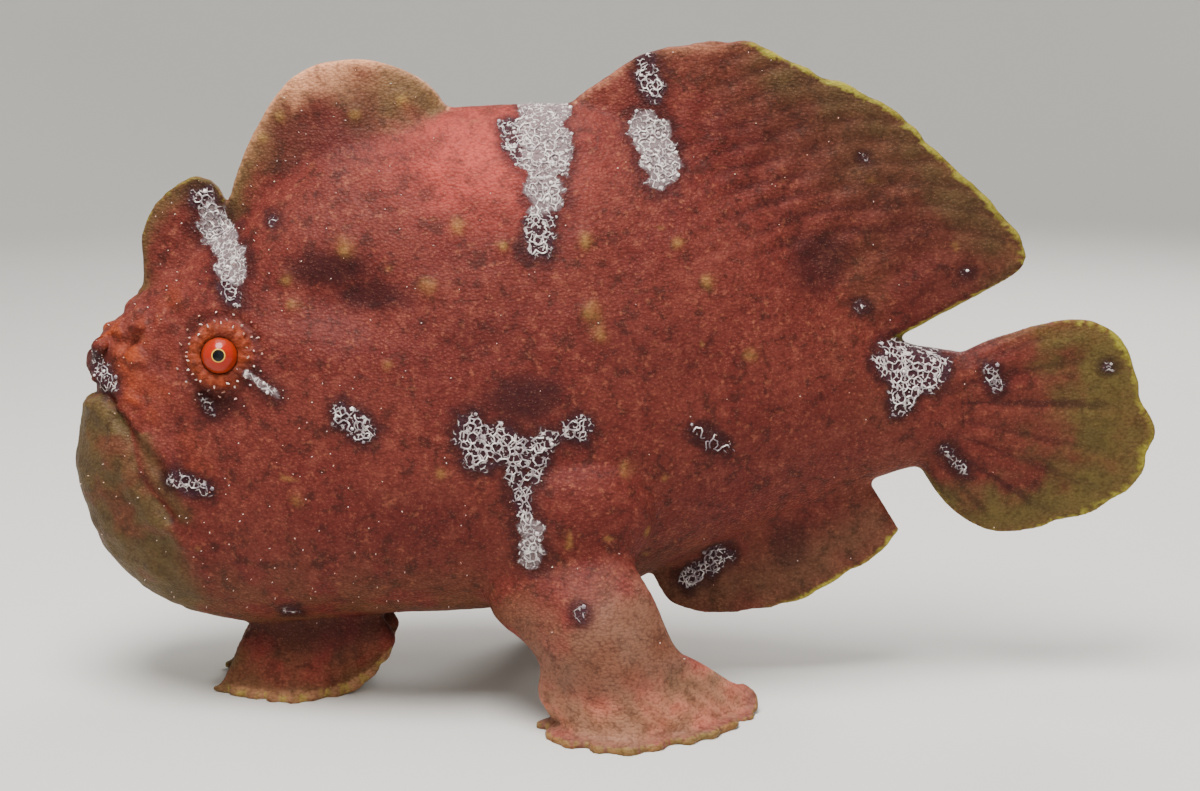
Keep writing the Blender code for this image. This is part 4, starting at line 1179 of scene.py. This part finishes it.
def make_eye(side):
    """An eyeball with a raised cornea, drawn by its distance from the axis of sight."""
    steps, sides = 72, 72
    centre, looks = (Vector(row) for row in eye_on(side))
    aim = Vector((0, 0, 1)).rotation_difference(looks).to_matrix()
    lean = np.linspace(0.002, math.pi - 0.002, steps)
    rings, angles = [], []
    for angle in lean:
        radius = EYE_RADIUS * (1 + 0.07 * float(bump(angle, 0.55)))
        for turn in np.linspace(0, 2 * math.pi, sides, endpoint=False):
            across = Vector((math.cos(turn), math.sin(turn), 0)) * math.sin(angle)
            local = across + Vector((0, 0, math.cos(angle)))
            rings.append(tuple(aim @ (local * radius) + centre))
            angles.append(angle)
    rings = np.array(rings).reshape(steps, sides, 3)
    points, faces = closed_loft(rings)
    name = "eyeball_right" if side > 0 else "eyeball_left"
    eye = add_object(name, points, faces)
    store(eye, sight=np.array(angles + [0.0, math.pi]))
    return eye


def make_lure():
    """The rod folded back along the flap, and its bait of soft threads."""
    line = path(LURE_ROD, np.linspace(0, 1, 40))
    rod = add_object("rod", *ring_tube(line, np.linspace(1.5, 1, 40) * LURE_ROD_RADIUS, 12))
    heading = Vector(LURE_ROD[-1] - LURE_ROD[-2]).normalized()
    start = Vector(LURE_ROD[-1]) + heading * 0.3 * MM
    along = [start + heading * BAIT_LENGTH * step for step in np.linspace(0, 1, 14)]
    swell = [(0.5 + 1.5 * math.sin(math.pi * step) ** 0.8) * MM for step in np.linspace(0.02, 0.94, 14)]
    pieces = [ring_tube([tuple(p) for p in along], swell, 14)]
    for i in range(BAIT_THREADS):
        turn = 2 * math.pi * i / BAIT_THREADS
        spread = Vector((0.75, 0.5 * math.cos(turn) + 0.25, 0.55 + 0.55 * math.sin(turn))).normalized()
        root = along[8 + i % 4]
        steps = np.linspace(0, 5, 8)
        thread = [tuple(root + spread * step * MM + Vector((0, 0, -0.02 * step**2)) * MM) for step in steps]
        pieces.append(ring_tube(thread, np.linspace(0.5, 0.14, 8) * MM, 7))
    bait = add_object("bait", *join(pieces))
    return rod, bait


def colour(sheet):
    """An sRGB hex colour as linear RGBA."""
    parts = [int(sheet[i:i + 2], 16) / 255 for i in (1, 3, 5)]
    linear = [c / 12.92 if c <= 0.04045 else ((c + 0.055) / 1.055) ** 2.4 for c in parts]
    return (*linear, 1)


def add(tree, kind, into=None, out=0, **settings):
    """Adds a node with its settings and its inputs set or linked, and gives one of its outputs."""
    node = tree.nodes.new(kind)
    for name, value in settings.items():
        setattr(node, name, value)
    for key, value in (into or {}).items():
        if isinstance(value, bpy.types.NodeSocket):
            tree.links.new(value, node.inputs[key])
        else:
            node.inputs[key].default_value = value
    return node.outputs[out]


def new_material(name):
    """A material, its node tree and its shader."""
    material = bpy.data.materials.new(name)
    material.use_nodes = True
    tree = material.node_tree
    return material, tree, tree.nodes["Principled BSDF"]


def coats(tree, ground, rows):
    """Lays coats of colour on a ground. Each shows as its value goes from low to high, up to its strength."""
    for value, low, high, strength, tint in rows:
        there = {0: value, 1: low, 2: high, 4: strength}
        mask = add(tree, "ShaderNodeMapRange", there, interpolation_type="SMOOTHSTEP")
        ground = add(tree, "ShaderNodeMix", {0: mask, 6: ground, 7: colour(tint)}, out=2, data_type="RGBA")
    return ground


def skin_material():
    """Living skin: matt and finely granular, brick red with pink, olive and dark parts, with painted shade
    and painted highlight, so it looks soft.
    """
    material, tree, shader = new_material("frogfish_skin")
    place = add(tree, "ShaderNodeTexCoord", out="Object")
    field = {
        name: add(tree, "ShaderNodeAttribute", out="Fac", attribute_name=name)
        for name in ("olive", "rim", "pink", "clay", "peach", "dark", "crust", "veil", "wart", "glow")
    }
    # Denticles lie in rows along the body, each about 0.95 mm long and 0.65 mm high.
    per_mm = 1 / MM
    size = (per_mm / 0.95, per_mm, per_mm / 0.65)
    rows = add(tree, "ShaderNodeMapping", {0: place, 3: size}, vector_type="POINT")
    denticle = add(tree, "ShaderNodeTexVoronoi", {0: rows, "Scale": 1.0})
    grit = add(tree, "ShaderNodeTexNoise", {0: place, "Scale": per_mm / 0.6, "Detail": 3.0})
    # Flecks of about 1.7 mm and a net of blotches of about 4 mm cover the whole fish.
    fleck = add(tree, "ShaderNodeTexNoise", {0: place, 2: per_mm / 1.7, "Detail": 3.0, "Roughness": 0.6})
    net = add(tree, "ShaderNodeTexNoise", {0: place, 2: per_mm / 4.2, "Detail": 5.0, "Roughness": 0.7})
    cloud = add(tree, "ShaderNodeTexNoise", {0: place, "Scale": per_mm / 21, "Detail": 3.0})
    # The flat lace under the raised threads has a mesh of about 1.5 mm.
    cells = add(tree, "ShaderNodeTexVoronoi", {0: place, "Scale": per_mm / 1.5}, feature="DISTANCE_TO_EDGE")
    thread = add(tree, "ShaderNodeMapRange", {0: cells, 1: 0.16, 2: 0.05}, interpolation_type="SMOOTHSTEP")
    whole = add(tree, "ShaderNodeMapRange", {0: fleck, 1: 0.38, 2: 0.55}, interpolation_type="SMOOTHSTEP")
    lace = add(tree, "ShaderNodeMath", {0: thread, 1: whole}, operation="MULTIPLY")
    lace = add(tree, "ShaderNodeMath", {0: lace, 1: field["crust"]}, operation="MULTIPLY")
    skin = coats(tree, colour("#5D241F"), (
        (cloud, 0.38, 0.62, 0.6, "#682E26"),
        (net, 0.48, 0.34, 0.65, "#401818"),
        (net, 0.52, 0.68, 0.55, "#7B4032"),
        (fleck, 0.56, 0.70, 0.45, "#96583F"),
        (field["pink"], 0, 1, 0.7, "#B9493F"),
        # Peach, partly painted highlight on the hump's top and painted bounce light on the pelvic fins.
        (field["peach"], 0, 1, 0.85, "#FFB487"),
        (field["clay"], 0, 1, 0.85, "#94685C"),
        (field["glow"], 0, 1, 0.8, "#A8481E"),
        (field["olive"], 0, 1, 0.85, "#53492A"),
        (net, 0.50, 0.36, 0.38, "#391F14"),
        (field["rim"], 0, 1, 0.85, "#A8A238"),
        (field["wart"], 0, 1, 0.5, "#AD8845"),
        # Maroon marks, and painted shade in hollows, grooves, the pelvic roots and below the hump's top.
        (field["dark"], 0, 1, 0.78, "#240E12"),
        (field["crust"], 0.2, 0.7, 0.85, "#351E26"),
        (field["veil"], 0.3, 1, 0.24, "#D2C4C4"),
        (denticle, 0.50, 0.80, 0.34, "#350E09"),
        (denticle, 0.28, 0.05, 0.22, "#B47A62"),
        (lace, 0.3, 0.8, 0.9, "#D5CBC8"),
    ))
    tree.links.new(skin, shader.inputs["Base Color"])
    rough = add(tree, "ShaderNodeMapRange", {0: grit, 1: 0.35, 2: 0.7, 3: 0.68, 4: 0.46})
    tree.links.new(rough, shader.inputs["Roughness"])
    shader.inputs["Specular IOR Level"].default_value = 0.12
    shader.inputs["Subsurface Weight"].default_value = 0.08
    shader.inputs["Subsurface Radius"].default_value = (1.0, 0.35, 0.25)
    shader.inputs["Subsurface Scale"].default_value = 2.0 * MM
    # Denticles stand 0.22 mm proud between their dark edges, with grit and the flat lace over them.
    grain = {"Height": denticle, "Distance": 0.22 * MM, "Strength": 0.8}
    normal = add(tree, "ShaderNodeBump", grain, invert=True)
    for height, depth, strength in ((grit, 0.2 * MM, 0.5), (lace, 0.4 * MM, 0.9)):
        grain = {"Height": height, "Distance": depth, "Strength": strength, "Normal": normal}
        normal = add(tree, "ShaderNodeBump", grain)
    tree.links.new(normal, shader.inputs["Normal"])
    return material


def finish_growth(tree, shader, tint, patch, wet, dull):
    """Links the colour, and lets the wet shine and the fine grain follow the patches."""
    tree.links.new(tint, shader.inputs["Base Color"])
    rough = add(tree, "ShaderNodeMapRange", {0: patch, 3: wet, 4: dull})
    tree.links.new(rough, shader.inputs["Roughness"])
    grain = add(tree, "ShaderNodeBump", {"Height": patch, "Distance": 0.1 * MM, "Strength": 0.5})
    tree.links.new(grain, shader.inputs["Normal"])


def growth_material(name, pale, shade, size):
    """Bare growths of skin: pale and wet, so their tips glint, and duller in patches."""
    material, tree, shader = new_material(name)
    place = add(tree, "ShaderNodeTexCoord", out="Object")
    patch = add(tree, "ShaderNodeTexNoise", {0: place, "Scale": 1 / size, "Detail": 3.0})
    tint = coats(tree, colour(pale), ((patch, 0.45, 0.68, 1, shade),))
    finish_growth(tree, shader, tint, patch, 0.3, 0.55)
    shader.inputs["Subsurface Weight"].default_value = 0.1
    shader.inputs["Subsurface Scale"].default_value = 1 * MM
    return material


def crust_material():
    """The crusts' lace: chalk white where they are thick, grey lilac where thin, with a dull damp shine."""
    material, tree, shader = new_material("chalky_crust")
    place = add(tree, "ShaderNodeTexCoord", out="Object")
    thick = add(tree, "ShaderNodeAttribute", out="Fac", attribute_name="thick")
    patch = add(tree, "ShaderNodeTexNoise", {0: place, "Scale": 1 / (2.2 * MM), "Detail": 3.0})
    tint = coats(tree, colour("#93868C"), (
        (thick, 0.7, 1, 0.75, "#D8CCCB"),
        (patch, 0.50, 0.60, 0.9, "#F6F0EC"),
        (patch, 0.46, 0.36, 0.75, "#64535B"),
    ))
    finish_growth(tree, shader, tint, patch, 0.4, 0.6)
    return material


def eye_material():
    """A wet eye: blue-black pupil, thin gold ring, streaked red iris, and the cornea's gloss over all."""
    material, tree, shader = new_material("wet_eye")
    sight = add(tree, "ShaderNodeAttribute", out="Fac", attribute_name="sight")
    place = add(tree, "ShaderNodeTexCoord", out="Object")
    streak = add(tree, "ShaderNodeTexNoise", {0: place, "Scale": 1 / (0.7 * MM), "Detail": 4.0})
    tint = coats(tree, colour("#A3200A"), (
        (streak, 0.45, 0.62, 0.55, "#8F1E06"),
        (sight, 0.325, 0.30, 1, "#E0B040"),
        (sight, 0.27, 0.26, 1, "#07080C"),
        (sight, 0.62, 0.80, 0.8, "#8A2A10"),
        (sight, 0.90, 1.05, 1, "#3A1A12"),
    ))
    tree.links.new(tint, shader.inputs["Base Color"])
    rough = add(tree, "ShaderNodeMapRange", {0: streak, 3: 0.2, 4: 0.32})
    tree.links.new(rough, shader.inputs["Roughness"])
    shader.inputs["Specular IOR Level"].default_value = 0.1
    shader.inputs["Coat Weight"].default_value = 0.7
    shader.inputs["Coat Roughness"].default_value = 0.03
    shader.inputs["Coat IOR"].default_value = 1.33
    return material


def board_material():
    """Matt painted studio board, so the floor stays plain and pale."""
    material, tree, shader = new_material("painted_board")
    place = add(tree, "ShaderNodeTexCoord", out="Object")
    cloud = add(tree, "ShaderNodeTexNoise", {0: place, "Scale": 1.5})
    tint = coats(tree, colour("#D2D0CB"), ((cloud, 0.4, 0.6, 0.4, "#D9D7D2"),))
    tree.links.new(tint, shader.inputs["Base Color"])
    shader.inputs["Roughness"].default_value = 0.8
    return material


def dress(obj, material):
    """Gives the piece its one material."""
    obj.data.materials.clear()
    obj.data.materials.append(material)


def add_light(name, at, target, size, power, tint):
    """A round soft light, its size in metres and its power in watts."""
    lamp = bpy.data.lights.new(name, "AREA")
    lamp.shape = "DISK"
    lamp.size = size
    lamp.energy = power
    lamp.color = tint
    obj = bpy.data.objects.new(name, lamp)
    obj.location = at
    obj.rotation_euler = (Vector(target) - Vector(at)).to_track_quat("-Z", "Y").to_euler()
    bpy.context.scene.collection.objects.link(obj)


def make_board():
    """A round pale board under the model, which sweeps up on every side without an edge."""
    sweep = np.linspace(0, math.pi / 2, 24)
    reach = np.concatenate([[0.3, 1.0], 1.1 + 0.6 * np.sin(sweep), [1.7]])
    height = np.concatenate([[0, 0], 0.6 - 0.6 * np.cos(sweep), [2.6]])
    sides = 128
    turn = np.linspace(0, 2 * math.pi, sides, endpoint=False)[None, :]
    out = reach[:, None]
    rings = np.stack([out * np.cos(turn), out * np.sin(turn), height[:, None] + 0 * turn], axis=-1)
    faces = [tuple(range(sides))] + band_faces(len(reach), sides)
    board = add_object("board", rings.reshape(-1, 3), faces)
    dress(board, board_material())


def set_studio():
    """Soft light, mostly from above as in the photograph, and the photograph's camera."""
    world = bpy.data.worlds.new("studio")
    bpy.context.scene.world = world
    world.use_nodes = True
    world.node_tree.nodes["Background"].inputs[0].default_value = (0.9, 0.94, 1.0, 1)
    world.node_tree.nodes["Background"].inputs[1].default_value = 0.16
    add_light("top_soft_light", (-0.12, -0.26, 0.85), (-0.02, 0, 0.1), 0.5, 15, (1, 0.98, 0.96))
    add_light("sky_panel", (0, 0, 2.2), (0, 0, 0), 1.8, 20, (0.97, 0.98, 1))
    add_light("front_fill", (0.2, -1.0, 0.45), (0, 0, 0.08), 0.9, 1.2, (0.96, 0.98, 1))
    add_light("back_rim", (0.3, 0.7, 0.6), (0, 0, 0.1), 0.5, 5, (1, 0.98, 0.95))
    lens = bpy.data.cameras.new("photo_camera")
    lens.sensor_width = 36
    lens.lens = FOCAL_PIXELS / IMAGE_WIDTH * lens.sensor_width
    camera = bpy.data.objects.new("photo_camera", lens)
    camera.location = CAMERA_AT
    camera.rotation_euler = (math.pi / 2 - CAMERA_PITCH, 0, 0)
    bpy.context.scene.collection.objects.link(camera)
    bpy.context.scene.camera = camera


def main():
    """Builds and dresses the fish and its studio, hides the imported solids, and hangs each new piece on the
    root body.
    """
    rng = random.Random(SEED)
    sheets = [median_sheet(name) for name in FINS]
    sheets += [limb_sheet("left"), limb_sheet("right")]
    for left in (True, False):
        sheets.append(guided_sheet("pelvic", PELVIC_GUIDES, PELVIC_HALF, PELVIC_RAYS, 0.5, 0.3, left))
    skin = make_skin(sheets)
    paint_skin(skin, sheets)
    dress(skin, skin_material())
    tree = surface_tree(skin)
    threads, thick = crust_lace(tree, rng)
    lace = add_object("crust_lace", *join(threads))
    store(lace, thick=thick)
    dress(lace, crust_material())
    # Pale papillae and the lids' lashes; the papillae's pale tint is partly painted glint.
    prickles_and_glints = add_object("prickles_and_glints", *join(make_prickles_and_glints(tree, rng) + make_lashes(tree, rng)))
    dress(prickles_and_glints, growth_material("pale_prickle_and_glint", "#EFD8CC", "#D89A80", 12 * MM))
    eye_look = eye_material()
    eyes = [make_eye(1), make_eye(-1)]
    for eye in eyes:
        dress(eye, eye_look)
    rod, bait = make_lure()
    dress(rod, growth_material("lure_stalk", "#B4776A", "#8A463C", 3 * MM))
    dress(bait, growth_material("lure_bait", "#E6CDBE", "#C08E7E", 1.5 * MM))
    make_board()
    set_studio()

    flesh = [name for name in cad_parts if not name.startswith(("eye", "lure"))]
    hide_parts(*flesh)
    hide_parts("eye_right")
    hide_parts("eye_left")
    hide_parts("lure_rod")
    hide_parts("lure_bait")
    for piece, slot in ((skin, "red_skin"), (lace, "red_skin"), (prickles_and_glints, "red_skin"), (eyes[0], "eye"),
                        (eyes[1], "eye"), (rod, "lure"), (bait, "lure")):
        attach(piece, "root")


main()
